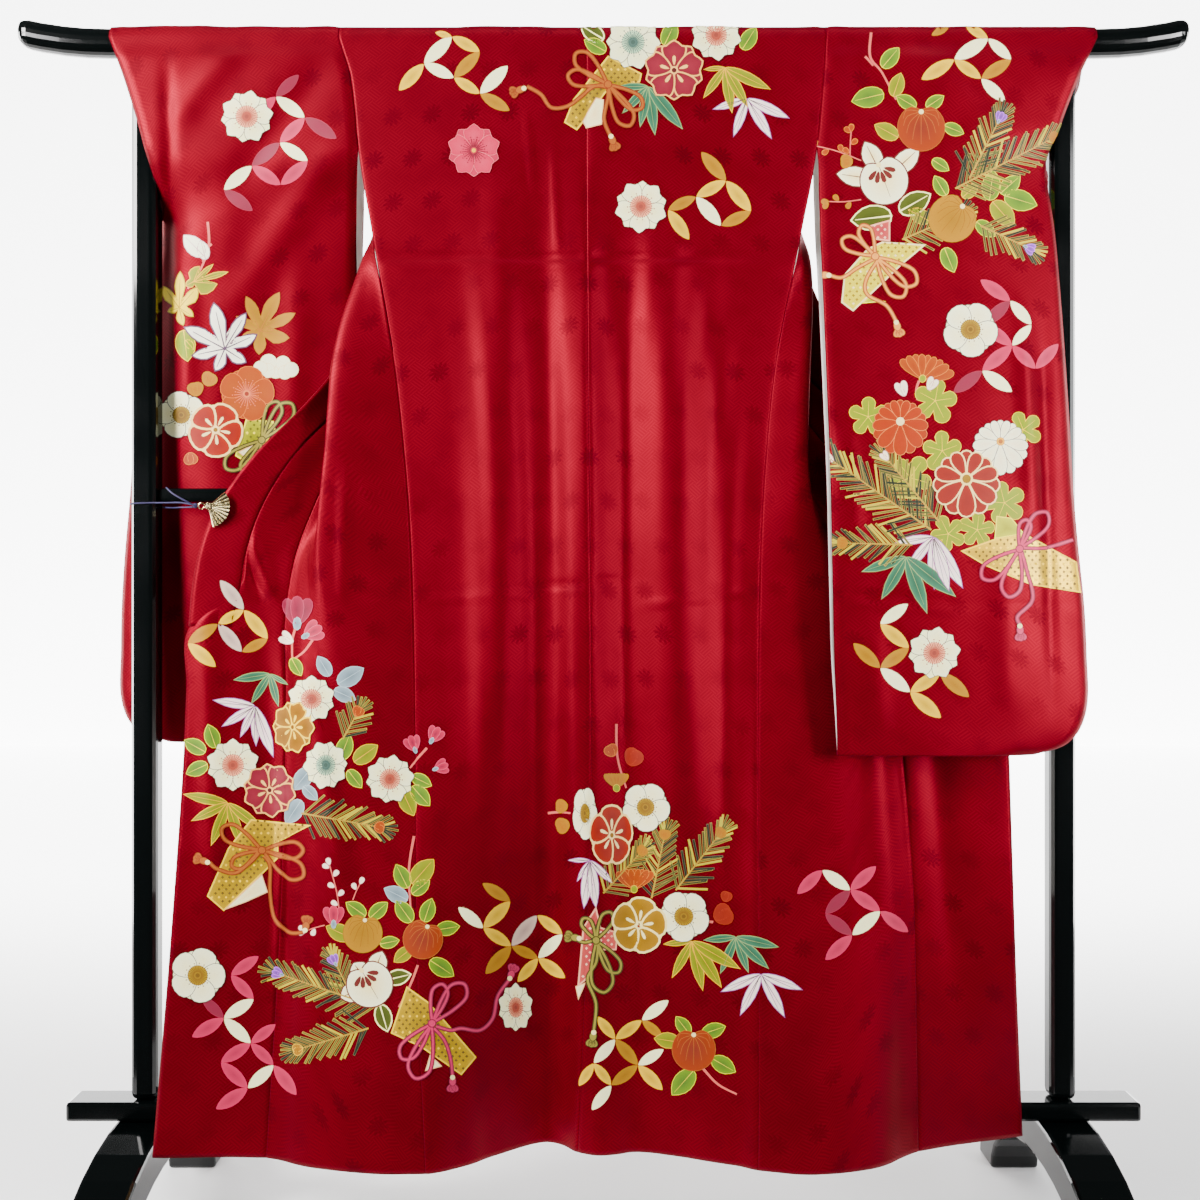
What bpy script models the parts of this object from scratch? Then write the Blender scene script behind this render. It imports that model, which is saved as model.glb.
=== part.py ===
# Furisode hung on a black lacquer kimono stand, seen from its back.
# Metres, +Z up. The origin is on the floor under the middle of the stand.
# The viewer is at -Y, the garment's back hangs on the near side of the rail,
# and its fronts go over the rail and are drawn out to both sides below.

import math

import bmesh
import bpy
from mathutils import Vector

# Stand
RAIL_LENGTH = 1.686
RAIL_DEPTH = 0.036
RAIL_HEIGHT = 0.040
RAIL_TOP = 1.731
RAIL_BEND_START = 0.712
RAIL_END_RISE = 0.016
RAIL_SLICES = 4
POST_X = 0.658
POST_SIZE = 0.037
CROSSBAR_Z = 1.060
CROSSBAR_HEIGHT = 0.020
CROSSBAR_DEPTH = 0.016
PLANK_LENGTH = 1.532
PLANK_DEPTH = 0.052
PLANK_TOP = 0.193
PLANK_HEIGHT = 0.027
FOOT_WIDTH = 0.075
FOOT_REACH = 0.260
FOOT_INNER_REACH = 0.195
FOOT_THICKNESS = 0.058
FOOT_STEPS = 16
JOINT_GAP = 0.0003

# Cloth
WALL = 0.0015
COLLAR_WALL = 0.0024
SEAM_GAP = 0.0004
HEM_Z = 0.149
RAIL_AXIS_Z = RAIL_TOP - RAIL_HEIGHT / 2
WRAP_RADIUS = 0.0216
WRAP_STEPS = 10
HEM_LEAN = 0.100
BACK_PARTS = [0.0, 0.02, 0.11, 0.21, 0.31, 0.41, 0.51, 0.61, 0.71, 0.81, 0.9, 0.98, 1.0]
FRONT_PARTS = [0.0, 0.03, 0.14, 0.26, 0.36, 0.44, 0.54, 0.65, 0.74, 0.82, 0.90, 0.97, 1.0]
FOLD_PART = 0.36
TURN_PART = 0.74
OKUMI_COLUMNS = [0.0, 0.04, 0.28, 0.52, 0.76, 1.0]
COLLAR_COLUMNS = 2
SLEEVE_PARTS = [0.0, 0.02, 0.16, 0.32, 0.48, 0.64, 0.80, 0.91, 1.0]
ARMHOLE_END = 1.550
OKUMI_TOP = 1.450
SIDE_SEAM_TOP = 1.400
COLLAR_END = 0.8745
COLLAR_TURN = (1.300, 1.400)
NECK_SEAM_Z = 1.687
SLEEVE_BOTTOM = 0.700
SLEEVE_CORNER = 0.072
LAYER_STEP = WALL + 0.0010
PUFF_EDGE = 0.45

# Clip and cord
CLIP_PIVOT = Vector((-0.5505, -0.0609, 1.0400))
FAN_RADIUS = 0.030
FAN_HUB = 0.005
HUB_RADIUS = 0.0046
HUB_FRONT = -0.0650
HUB_BACK = -0.0503
JAW_LENGTH = 0.034
JAW_HEIGHT = 0.010
RING_RADIUS = 0.0042
RING_WIRE = 0.0008
FAN_RIBS = 11
FAN_START = math.radians(-78)
FAN_END = math.radians(40)
FAN_WALL = 0.0012
FAN_PLEAT = 0.0010
CORD_DIAMETER = 0.0022
KNOT_CENTRE = Vector((-0.5694, -0.0600, 1.0405))
KNOT_RADIUS = 0.0035

# Heights of the rows of the body, okumi and sleeve sheets, hem to rail
SHARED_ROWS = [1.550, 1.575, 1.600, 1.655, 1.680, 1.687, 1.699]
BODY_ROWS = [
    HEM_Z, 0.220, 0.310, 0.400, 0.500, 0.600, 0.700, 0.790, 0.868, 0.872,
    0.930, 0.980, 1.030, 1.075, 1.120, 1.180, 1.240, 1.300, 1.350, 1.400, 1.450, 1.500,
] + SHARED_ROWS
SLEEVE_ROWS = [
    SLEEVE_BOTTOM, 0.712, 0.735, 0.772, 0.830, 0.900, 0.980, 1.060, 1.120, 1.180, 1.260,
    1.340, 1.380, 1.420, 1.455, 1.490, 1.530,
] + SHARED_ROWS

# Seams of the back: centre seam and the left and right outer edges (armhole, then side seam)
BACK_COLUMNS = ("z", "centre", "left", "right")
BACK_TABLE = [
    (0.149, -0.035, -0.236, 0.206),
    (0.480, -0.022, -0.254, 0.211),
    (0.750, -0.016, -0.261, 0.214),
    (0.970, -0.018, -0.268, 0.219),
    (1.195, -0.021, -0.288, 0.236),
    (1.410, -0.023, -0.324, 0.276),
    (1.550, -0.024, -0.348, 0.303),
    (1.640, -0.024, -0.357, 0.312),
    (1.711, -0.024, -0.377, 0.318),
]

# Depth of the hem's wave across the garment, negative towards the viewer
HEM_COLUMNS = ("x", "depth")
HEM_TABLE = [
    (-0.620, 0.000), (-0.460, 0.000), (-0.395, -0.028), (-0.302, -0.048), (-0.236, -0.048),
    (-0.190, -0.025), (-0.150, 0.010), (-0.070, 0.048), (-0.035, 0.020), (0.000, 0.008),
    (0.045, 0.016), (0.100, 0.008), (0.165, -0.019), (0.250, -0.050), (0.320, -0.044),
    (0.420, 0.010), (0.490, 0.054), (0.600, 0.070),
]

# Long folds of the back: place at the yoke, at the crossbar and at the hem,
# height towards the viewer (negative is a hollow) and half width
FOLD_COLUMNS = ("yoke", "waist", "hem", "rise", "reach")
FOLD_TABLE = [
    (-0.150, -0.148, -0.165, 0.012, 0.034),
    (-0.095, -0.084, -0.092, -0.013, 0.028),
    (-0.034, -0.028, -0.030, 0.012, 0.026),
    (0.022, 0.032, 0.048, -0.014, 0.026),
    (0.075, 0.102, 0.120, 0.013, 0.034),
    (0.140, 0.170, 0.190, -0.009, 0.026),
]

# Left front: sections from the side seam (side) by the fold edge (fold) and the
# hidden turn (turn) to the okumi seam (seam), the collar seam (edge) and the outer
# edge of the collar (rim); x then y of each
FRONT_COLUMNS = (
    "z", "side_x", "side_y", "fold_x", "fold_y", "turn_x", "turn_y",
    "seam_x", "seam_y", "edge_x", "edge_y", "rim_x", "rim_y",
)
LEFT_FRONT = [
    (0.149, -0.236, -0.148, -0.302, -0.148, -0.395, -0.128, -0.460, -0.100, -0.615, -0.100, -0.615, -0.100),
    (0.480, -0.254, -0.083, -0.330, -0.101, -0.400, -0.092, -0.447, -0.074, -0.592, -0.086, -0.592, -0.086),
    (0.750, -0.261, -0.070, -0.350, -0.085, -0.408, -0.078, -0.443, -0.060, -0.579, -0.072, -0.579, -0.072),
    (0.868, -0.265, -0.066, -0.375, -0.078, -0.420, -0.066, -0.447, -0.052, -0.577, -0.066, -0.577, -0.066),
    (0.872, -0.265, -0.066, -0.376, -0.078, -0.420, -0.066, -0.447, -0.052, -0.520, -0.060, -0.577, -0.066),
    (0.980, -0.269, -0.061, -0.395, -0.075, -0.410, -0.052, -0.432, -0.040, -0.500, -0.054, -0.563, -0.062),
    (1.037, -0.273, -0.058, -0.394, -0.072, -0.375, -0.038, -0.412, -0.032, -0.482, -0.048, -0.542, -0.058),
    (1.100, -0.279, -0.054, -0.389, -0.066, -0.335, -0.020, -0.385, -0.022, -0.447, -0.040, -0.500, -0.052),
    (1.250, -0.299, -0.044, -0.380, -0.050, -0.280, 0.062, -0.304, 0.056, -0.338, 0.030, -0.381, -0.012),
    (1.360, -0.315, -0.036, -0.354, -0.028, -0.240, 0.066, -0.262, 0.076, -0.300, 0.052, -0.350, 0.004),
    (1.400, -0.322, -0.030, -0.343, -0.012, -0.225, 0.066, -0.248, 0.080, -0.285, 0.066, -0.334, 0.026),
    (1.450, -0.331, 0.004, -0.329, 0.026, -0.212, 0.052, -0.228, 0.066, -0.252, 0.068, -0.302, 0.068),
    (1.500, -0.340, 0.018, -0.318, 0.024, -0.220, 0.040, -0.224, 0.058, -0.224, 0.058, -0.248, 0.106),
    (1.550, -0.348, 0.026, -0.310, 0.030, -0.250, 0.033, -0.212, 0.042, -0.212, 0.042, -0.186, 0.088),
    (1.600, -0.353, 0.025, -0.310, 0.028, -0.250, 0.031, -0.190, 0.035, -0.190, 0.035, -0.148, 0.054),
    (1.655, -0.360, 0.024, -0.290, 0.026, -0.210, 0.029, -0.125, 0.030, -0.125, 0.030, -0.088, 0.035),
    (1.680, -0.366, 0.023, -0.280, 0.024, -0.180, 0.025, -0.075, 0.026, -0.075, 0.026, -0.062, 0.035),
    (1.687, -0.367, 0.022, -0.270, 0.023, -0.150, 0.024, -0.025, 0.025, -0.025, 0.025, -0.024, 0.035),
    (1.699, -0.370, 0.0216, -0.265, 0.0216, -0.145, 0.0216, -0.0245, 0.0216, -0.0245, 0.0216, -0.024, 0.035),
    (1.711, -0.372, 0.0216, -0.262, 0.0216, -0.143, 0.0216, -0.024, 0.0216, -0.024, 0.0216, -0.024, 0.035),
]
RIGHT_FRONT = [
    (0.149, 0.206, -0.142, 0.275, -0.150, 0.365, -0.130, 0.434, -0.080, 0.594, -0.030, 0.594, -0.030),
    (0.480, 0.211, -0.086, 0.290, -0.101, 0.370, -0.092, 0.430, -0.074, 0.566, -0.080, 0.566, -0.080),
    (0.750, 0.214, -0.072, 0.300, -0.085, 0.370, -0.078, 0.412, -0.062, 0.561, -0.070, 0.561, -0.070),
    (0.868, 0.216, -0.066, 0.302, -0.078, 0.378, -0.066, 0.406, -0.054, 0.560, -0.064, 0.560, -0.064),
    (0.872, 0.216, -0.066, 0.303, -0.078, 0.378, -0.066, 0.406, -0.054, 0.503, -0.060, 0.560, -0.064),
    (0.980, 0.219, -0.061, 0.300, -0.075, 0.345, -0.050, 0.388, -0.040, 0.483, -0.054, 0.546, -0.062),
    (1.037, 0.221, -0.058, 0.290, -0.072, 0.310, -0.038, 0.365, -0.032, 0.465, -0.048, 0.525, -0.058),
    (1.100, 0.224, -0.054, 0.284, -0.066, 0.262, -0.020, 0.335, -0.020, 0.430, -0.040, 0.483, -0.052),
    (1.250, 0.244, -0.044, 0.290, -0.050, 0.224, 0.062, 0.250, 0.056, 0.290, 0.034, 0.346, -0.002),
    (1.360, 0.265, -0.036, 0.296, -0.028, 0.190, 0.066, 0.212, 0.076, 0.252, 0.054, 0.304, 0.008),
    (1.400, 0.274, -0.030, 0.294, -0.012, 0.177, 0.066, 0.200, 0.080, 0.238, 0.066, 0.288, 0.026),
    (1.450, 0.285, 0.002, 0.283, 0.024, 0.164, 0.052, 0.180, 0.066, 0.204, 0.068, 0.254, 0.068),
    (1.500, 0.294, 0.008, 0.266, 0.022, 0.172, 0.040, 0.176, 0.058, 0.176, 0.058, 0.200, 0.106),
    (1.550, 0.303, 0.012, 0.262, 0.026, 0.202, 0.033, 0.164, 0.042, 0.164, 0.042, 0.138, 0.088),
    (1.600, 0.308, 0.018, 0.262, 0.026, 0.202, 0.031, 0.142, 0.035, 0.142, 0.035, 0.100, 0.054),
    (1.655, 0.313, 0.021, 0.242, 0.026, 0.162, 0.029, 0.077, 0.030, 0.077, 0.030, 0.040, 0.035),
    (1.680, 0.315, 0.0216, 0.232, 0.024, 0.132, 0.025, 0.027, 0.026, 0.027, 0.026, 0.014, 0.035),
    (1.687, 0.316, 0.0216, 0.222, 0.023, 0.102, 0.024, -0.023, 0.025, -0.023, 0.025, -0.024, 0.035),
    (1.699, 0.317, 0.0216, 0.217, 0.0216, 0.097, 0.0216, -0.0235, 0.0216, -0.0235, 0.0216, -0.024, 0.035),
    (1.711, 0.318, 0.0216, 0.214, 0.0216, 0.095, 0.0216, -0.024, 0.0216, -0.024, 0.0216, -0.024, 0.035),
]
# Lift of the collar's outer edge under its seam near the neck
RIM_DROP_COLUMNS = ("z", "drop")
RIM_DROP = [(1.550, 0.0), (1.600, 0.024), (1.655, 0.049), (1.680, 0.057), (1.687, 0.059), (1.711, 0.059)]

# Sleeves: sections from the body side (inner) to the cuff side (outer), x then y,
# of the layer on the viewer's side (near) and the layer behind it (far)
NEAR_COLUMNS = (
    "z", "inner_x", "inner_y", "mid_x", "mid_y", "ridge_x", "ridge_y", "outer_x", "outer_y", "puff",
)
FAR_COLUMNS = NEAR_COLUMNS[:-1]
LEFT_NEAR = [
    (0.700, -0.358, 0.040, -0.480, 0.038, -0.600, 0.040, -0.714, 0.046, 0.000),
    (0.740, -0.358, 0.038, -0.480, 0.036, -0.600, 0.038, -0.714, 0.046, 0.008),
    (0.900, -0.358, 0.034, -0.480, 0.030, -0.600, 0.030, -0.712, 0.046, 0.028),
    (1.060, -0.358, 0.032, -0.475, 0.026, -0.600, 0.021, -0.700, 0.046, 0.036),
    (1.180, -0.358, 0.028, -0.475, 0.023, -0.600, 0.015, -0.690, 0.044, 0.040),
    (1.340, -0.358, 0.016, -0.470, 0.011, -0.596, 0.006, -0.668, 0.040, 0.042),
    (1.420, -0.357, 0.002, -0.465, -0.001, -0.588, -0.004, -0.642, 0.027, 0.048),
    (1.490, -0.354, -0.010, -0.460, -0.014, -0.565, -0.015, -0.631, -0.011, 0.054),
    (1.550, -0.349, -0.029, -0.460, -0.027, -0.565, -0.027, -0.652, -0.027, 0.054),
    (1.640, -0.358, -0.026, -0.470, -0.027, -0.580, -0.027, -0.678, -0.026, 0.054),
    (1.711, -0.377, -0.0216, -0.485, -0.0216, -0.598, -0.0216, -0.705, -0.0216, 0.054),
]
LEFT_FAR = [
    (1.530, -0.351, 0.030, -0.465, 0.038, -0.560, 0.038, -0.633, 0.024),
    (1.550, -0.349, 0.026, -0.465, 0.035, -0.565, 0.035, -0.652, 0.028),
    (1.640, -0.358, 0.024, -0.470, 0.026, -0.585, 0.028, -0.692, 0.026),
    (1.711, -0.377, 0.0191, -0.485, 0.0191, -0.598, 0.0191, -0.705, 0.0191),
]
RIGHT_NEAR = [
    (0.700, 0.315, -0.118, 0.430, -0.122, 0.560, -0.120, 0.656, -0.108, 0.000),
    (0.740, 0.314, -0.119, 0.430, -0.123, 0.560, -0.121, 0.656, -0.108, 0.008),
    (0.850, 0.310, -0.120, 0.430, -0.126, 0.560, -0.124, 0.655, -0.106, 0.024),
    (1.050, 0.307, -0.114, 0.430, -0.118, 0.560, -0.112, 0.643, -0.092, 0.027),
    (1.190, 0.306, -0.092, 0.430, -0.096, 0.560, -0.092, 0.640, -0.078, 0.030),
    (1.360, 0.305, -0.060, 0.430, -0.064, 0.555, -0.064, 0.636, -0.056, 0.034),
    (1.430, 0.304, -0.048, 0.430, -0.052, 0.552, -0.052, 0.634, -0.044, 0.038),
    (1.530, 0.304, -0.034, 0.430, -0.037, 0.550, -0.036, 0.630, -0.022, 0.042),
    (1.575, 0.305, -0.029, 0.430, -0.032, 0.555, -0.032, 0.646, -0.028, 0.042),
    (1.640, 0.312, -0.026, 0.435, -0.028, 0.560, -0.029, 0.670, -0.028, 0.042),
    (1.711, 0.318, -0.0216, 0.445, -0.0216, 0.575, -0.0216, 0.704, -0.0216, 0.042),
]
RIGHT_FAR = [
    (1.550, 0.303, 0.009, 0.430, 0.009, 0.550, 0.009, 0.629, 0.002),
    (1.575, 0.305, 0.013, 0.430, 0.014, 0.555, 0.016, 0.632, 0.025),
    (1.600, 0.308, 0.016, 0.435, 0.018, 0.560, 0.021, 0.664, 0.027),
    (1.640, 0.312, 0.018, 0.435, 0.021, 0.560, 0.024, 0.690, 0.024),
    (1.711, 0.318, 0.0191, 0.445, 0.0191, 0.575, 0.0191, 0.704, 0.0191),
]
CUFF_END = {"left": 1.490, "right": 1.530}

# Route of the cord: from the knot round the left post and back to the knot
CORD_LOOP = [
    (-0.5734, -0.0582, 1.0422), (-0.5950, -0.0440, 1.0460), (-0.6200, -0.0290, 1.0470),
    (-0.6490, -0.0203, 1.0475), (-0.6665, -0.0200, 1.0470), (-0.6748, -0.0168, 1.0468),
    (-0.6781, -0.0085, 1.0465), (-0.6781, 0.0085, 1.0460), (-0.6748, 0.0168, 1.0455),
    (-0.6665, 0.0200, 1.0450), (-0.6500, 0.0200, 1.0445), (-0.6408, 0.0165, 1.0440),
    (-0.6330, 0.0020, 1.0425), (-0.6150, -0.0200, 1.0405), (-0.5930, -0.0420, 1.0395),
    (-0.5732, -0.0586, 1.0386),
]
CORD_TAIL = [
    (-0.5716, -0.0640, 1.0415), (-0.5830, -0.0680, 1.0480), (-0.5990, -0.0650, 1.0570),
    (-0.6110, -0.0560, 1.0660),
]
CORD_POINTS_PER_CONTROL = 3

SURFACES = {
    "lacquer": ((0.008, 0.009, 0.011), 0.12, 0.0),
    "crimson_silk": ((0.440, 0.004, 0.022), 0.45, 0.0),
    "gold": ((0.830, 0.610, 0.250), 0.25, 1.0),
    "purple_cord": ((0.045, 0.021, 0.260), 0.70, 0.0),
}


def clear_scene():
    for thing in list(bpy.data.objects):
        bpy.data.objects.remove(thing, do_unlink=True)


def new_collection(name):
    group = bpy.data.collections.new(name)
    bpy.context.scene.collection.children.link(group)
    return group


def new_material(name, surface):
    colour, roughness, metallic = SURFACES[surface]
    material = bpy.data.materials.new(name)
    material.use_nodes = True
    shader = material.node_tree.nodes["Principled BSDF"]
    shader.inputs["Base Color"].default_value = (*colour, 1.0)
    shader.inputs["Roughness"].default_value = roughness
    shader.inputs["Metallic"].default_value = metallic
    return material


def add_object(group, name, data, surface):
    thing = bpy.data.objects.new(name, data)
    data.materials.append(new_material(name + "_finish", surface))
    group.objects.link(thing)
    return thing


def add_mesh(group, name, shape, surface):
    mesh = bpy.data.meshes.new(name)
    bmesh.ops.recalc_face_normals(shape, faces=shape.faces)
    shape.to_mesh(mesh)
    shape.free()
    thing = add_object(group, name, mesh, surface)
    mesh.shade_smooth()
    mesh.set_sharp_from_angle(angle=math.radians(35))
    return thing


def add_bevel(thing, width, segments, angle=40):
    bevel = thing.modifiers.new("Round", "BEVEL")
    bevel.width = width
    bevel.segments = segments
    bevel.limit_method = "ANGLE"
    bevel.angle_limit = math.radians(angle)


def box_shape(size):
    shape = bmesh.new()
    bmesh.ops.create_cube(shape, size=1.0)
    bmesh.ops.scale(shape, vec=size, verts=shape.verts)
    return shape


# Smooth interpolation of a table with named columns

def slopes_of(places, values):
    steps = [b - a for a, b in zip(places, places[1:])]
    rates = [(b - a) / step for a, b, step in zip(values, values[1:], steps)]
    slopes = [rates[0]]
    for before, after in zip(rates, rates[1:]):
        if before * after <= 0:
            slopes.append(0.0)
        else:
            slopes.append(2 * before * after / (before + after))
    slopes.append(rates[-1])
    return slopes


def hermite(places, values, slopes, at):
    at = min(max(at, places[0]), places[-1])
    index = 0
    while index < len(places) - 2 and at > places[index + 1]:
        index += 1
    step = places[index + 1] - places[index]
    t = (at - places[index]) / step
    start, end = values[index], values[index + 1]
    pull = (slopes[index] * step, slopes[index + 1] * step)
    return (start * (2 * t ** 3 - 3 * t ** 2 + 1) + pull[0] * (t ** 3 - 2 * t ** 2 + t)
            + end * (3 * t ** 2 - 2 * t ** 3) + pull[1] * (t ** 3 - t ** 2))


class Table:
    """Rows of a table read as smooth functions of its first column."""

    def __init__(self, columns, rows):
        self.places = [row[0] for row in rows]
        self.values = {}
        self.slopes = {}
        for index, name in enumerate(columns[1:], start=1):
            self.values[name] = [row[index] for row in rows]
            self.slopes[name] = slopes_of(self.places, self.values[name])

    def at(self, name, place):
        return hermite(self.places, self.values[name], self.slopes[name], place)


class Section:
    """A smooth line through a few (x, y) points, read by its length from 0 to 1."""

    def __init__(self, points):
        self.marks = [0.0]
        for (x0, y0), (x1, y1) in zip(points, points[1:]):
            self.marks.append(self.marks[-1] + max(math.hypot(x1 - x0, y1 - y0), 1e-6))
        self.xs = [point[0] for point in points]
        self.ys = [point[1] for point in points]
        self.x_slopes = self.centred(self.xs)
        self.y_slopes = self.centred(self.ys)

    def centred(self, values):
        marks = self.marks
        slopes = [(values[1] - values[0]) / (marks[1] - marks[0])]
        for k in range(1, len(values) - 1):
            slopes.append((values[k + 1] - values[k - 1]) / (marks[k + 1] - marks[k - 1]))
        slopes.append((values[-1] - values[-2]) / (marks[-1] - marks[-2]))
        return slopes

    def point(self, length):
        x = hermite(self.marks, self.xs, self.x_slopes, length)
        y = hermite(self.marks, self.ys, self.y_slopes, length)
        return x, y


BACK = Table(BACK_COLUMNS, BACK_TABLE)
HEM = Table(HEM_COLUMNS, HEM_TABLE)
FOLDS = [dict(zip(FOLD_COLUMNS, row)) for row in FOLD_TABLE]
FRONTS = {"left": Table(FRONT_COLUMNS, LEFT_FRONT), "right": Table(FRONT_COLUMNS, RIGHT_FRONT)}
RIM = Table(RIM_DROP_COLUMNS, RIM_DROP)
SLEEVES = {
    "left": (Table(NEAR_COLUMNS, LEFT_NEAR), Table(FAR_COLUMNS, LEFT_FAR)),
    "right": (Table(NEAR_COLUMNS, RIGHT_NEAR), Table(FAR_COLUMNS, RIGHT_FAR)),
}
SIDE_SIGN = {"left": -1, "right": 1}


def fade(start, end, value):
    t = min(max((value - start) / (end - start), 0.0), 1.0)
    return t * t * (3 - 2 * t)


# Shape of the cloth

def back_depth(x, z):
    """Depth of the back panels: a slight lean, long folds and the hem's wave."""
    fall = (RAIL_AXIS_Z - z) / (RAIL_AXIS_Z - HEM_Z)
    depth = -WRAP_RADIUS - (HEM_LEAN - WRAP_RADIUS) * fall
    folds = 0.0
    for fold in FOLDS:
        upper = (fold["yoke"] - fold["waist"]) * fade(1.06, 1.50, z)
        lower = (fold["hem"] - fold["waist"]) * fade(1.06, HEM_Z, z)
        place = fold["waist"] + upper + lower
        folds -= fold["rise"] * math.exp(-((x - place) / fold["reach"]) ** 2)
    strength = fade(1.60, 1.15, z) * (1 - 0.75 * fade(0.75, HEM_Z, z))
    wave = HEM.at("depth", x) * fade(0.95, HEM_Z, z) ** 1.3
    edge = min(abs(x - BACK.at("left", z)), abs(x - BACK.at("right", z)))
    calm = fade(0.0, 0.035, edge)
    return depth + folds * strength * calm + wave


def back_row(side, z):
    """Points of one row of a back panel, from the centre seam to its outer edge."""
    sign = SIDE_SIGN[side]
    start = BACK.at("centre", z) + sign * SEAM_GAP / 2
    end = BACK.at(side, z) - sign * SEAM_GAP / 2
    row = []
    for part in BACK_PARTS:
        x = start + (end - start) * part
        row.append(Vector((x, back_depth(x, z), z)))
    return row


def front_section(side, z):
    """The line of a front and its okumi at one height, and the lengths of its seams."""
    table = FRONTS[side]
    names = ["side", "fold", "turn", "edge"]
    if z <= OKUMI_TOP:
        names.insert(3, "seam")
    points = [(table.at(name + "_x", z), table.at(name + "_y", z)) for name in names]
    edge = BACK.at(side, z)
    if z >= ARMHOLE_END:
        points[0] = (edge, points[0][1])
    elif z < SIDE_SEAM_TOP:
        points[0] = (edge, back_depth(edge, z))
    elif z == SIDE_SEAM_TOP:
        outward = SIDE_SIGN[side] * WALL
        points[0] = (edge + outward, back_depth(edge, z) + 2 * WALL)
    section = Section(points)
    return section, section.marks[3], section.marks[-1]


def front_row(side, z):
    """Points of one row of a front, from its inner edge to the side seam."""
    section, seam, _ = front_section(side, z)
    parts = [0.0, FOLD_PART, TURN_PART, 1.0]
    lengths = [SEAM_GAP / 2, section.marks[1], section.marks[2], seam - SEAM_GAP / 2]
    slopes = slopes_of(parts, lengths)
    row = []
    for part in reversed(FRONT_PARTS):
        x, y = section.point(hermite(parts, lengths, slopes, part))
        row.append(Vector((x, y, z)))
    return row


def wrap_row(side, angle):
    """Points of one row where a body panel lies over the rail."""
    sign = SIDE_SIGN[side]
    start = BACK.at("centre", RAIL_AXIS_Z) + sign * SEAM_GAP / 2
    end = BACK.at(side, RAIL_AXIS_Z) - sign * SEAM_GAP / 2
    y = -WRAP_RADIUS * math.cos(angle)
    z = RAIL_AXIS_Z + WRAP_RADIUS * math.sin(angle)
    return [Vector((start + (end - start) * part, y, z)) for part in BACK_PARTS]


def sheet_shape(rows):
    """An open surface through rows of points."""
    shape = bmesh.new()
    grid = [[shape.verts.new(point) for point in row] for row in rows]
    for lower, upper in zip(grid, grid[1:]):
        for k in range(len(lower) - 1):
            shape.faces.new((lower[k], lower[k + 1], upper[k + 1], upper[k]))
    return shape


def add_sheet(group, name, rows, wall, surface="crimson_silk"):
    thing = add_mesh(group, name, sheet_shape(rows), surface)
    solid = thing.modifiers.new("Wall", "SOLIDIFY")
    solid.thickness = wall
    solid.offset = 0.0
    solid.use_even_offset = True
    return thing


def add_body(group, side):
    """One body panel: back and front in one length over the rail."""
    rows = [back_row(side, z) for z in BODY_ROWS]
    for step in range(WRAP_STEPS + 1):
        rows.append(wrap_row(side, math.pi * step / WRAP_STEPS))
    rows += [front_row(side, z) for z in reversed(BODY_ROWS)]
    add_sheet(group, "body_" + side, rows, WALL)


def add_okumi(group, side):
    """The overlap panel outside a front, from under the collar to the hem."""
    rows = []
    for z in BODY_ROWS:
        if z > OKUMI_TOP:
            continue
        section, seam, end = front_section(side, z)
        start = seam + SEAM_GAP / 2
        row = []
        for part in OKUMI_COLUMNS:
            x, y = section.point(start + (end - start) * part)
            row.append(Vector((x, y, z)))
        rows.append(row)
    add_sheet(group, "okumi_" + side, rows, WALL)


def collar_row(side, z):
    """One row across the collar, from its seam to its outer edge."""
    table = FRONTS[side]
    seam = Vector((table.at("edge_x", z), table.at("edge_y", z), z))
    rim = Vector((table.at("rim_x", z), table.at("rim_y", z), z - RIM.at("drop", z)))
    across = (rim - seam).normalized()
    start = seam + across * (SEAM_GAP + COLLAR_WALL / 2 * fade(*COLLAR_TURN, z))
    return [start.lerp(rim, k / COLLAR_COLUMNS) for k in range(COLLAR_COLUMNS + 1)]


def add_collar(group):
    """The collar band, up one front edge, round the neck and down the other."""
    heights = [COLLAR_END] + [z for z in BODY_ROWS if COLLAR_END < z < NECK_SEAM_Z]
    rows = [collar_row("left", z) for z in heights]
    rows.append(collar_row("left", NECK_SEAM_Z))
    rows += [collar_row("right", z) for z in reversed(heights)]
    add_sheet(group, "collar", rows, COLLAR_WALL)


def corner_inset(z):
    """How far the rounded bottom corner pulls the sleeve's outer edge in."""
    up = z - SLEEVE_BOTTOM
    if up >= SLEEVE_CORNER:
        return 0.0
    return SLEEVE_CORNER - math.sqrt(SLEEVE_CORNER ** 2 - (SLEEVE_CORNER - up) ** 2)


def sleeve_row(side, layer, z):
    """Points of one row of a sleeve's near or far layer, inner edge to outer."""
    sign = SIDE_SIGN[side]
    sewn = z <= CUFF_END[side]
    table = SLEEVES[side][0 if sewn else layer]
    names = ("inner", "mid", "ridge", "outer")
    points = [[table.at(name + "_x", z), table.at(name + "_y", z)] for name in names]
    if z >= ARMHOLE_END:
        edge = BACK.at(side, z)
        depths = (back_depth(edge, z), FRONTS[side].at("side_y", z) - LAYER_STEP)
        points[0] = [edge + sign * SEAM_GAP, depths[layer]]
    points[3][0] -= sign * corner_inset(z)
    points[2][0] -= sign * corner_inset(z) * 0.6
    section = Section([tuple(point) for point in points])
    puff = table.at("puff", z) if sewn and layer else 0.0
    row = []
    for part in SLEEVE_PARTS:
        x, y = section.point(section.marks[-1] * part)
        lift = layer * LAYER_STEP + puff * (1 - fade(PUFF_EDGE, 1.0, part))
        row.append(Vector((x, y + lift, z)))
    return row


def sleeve_wrap_row(side, angle):
    """Points of one row where a sleeve lies over the rail."""
    row = sleeve_row(side, 0, RAIL_AXIS_Z)
    y = -WRAP_RADIUS * math.cos(angle)
    z = RAIL_AXIS_Z + WRAP_RADIUS * math.sin(angle)
    return [Vector((point.x, y, z)) for point in row]


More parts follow.
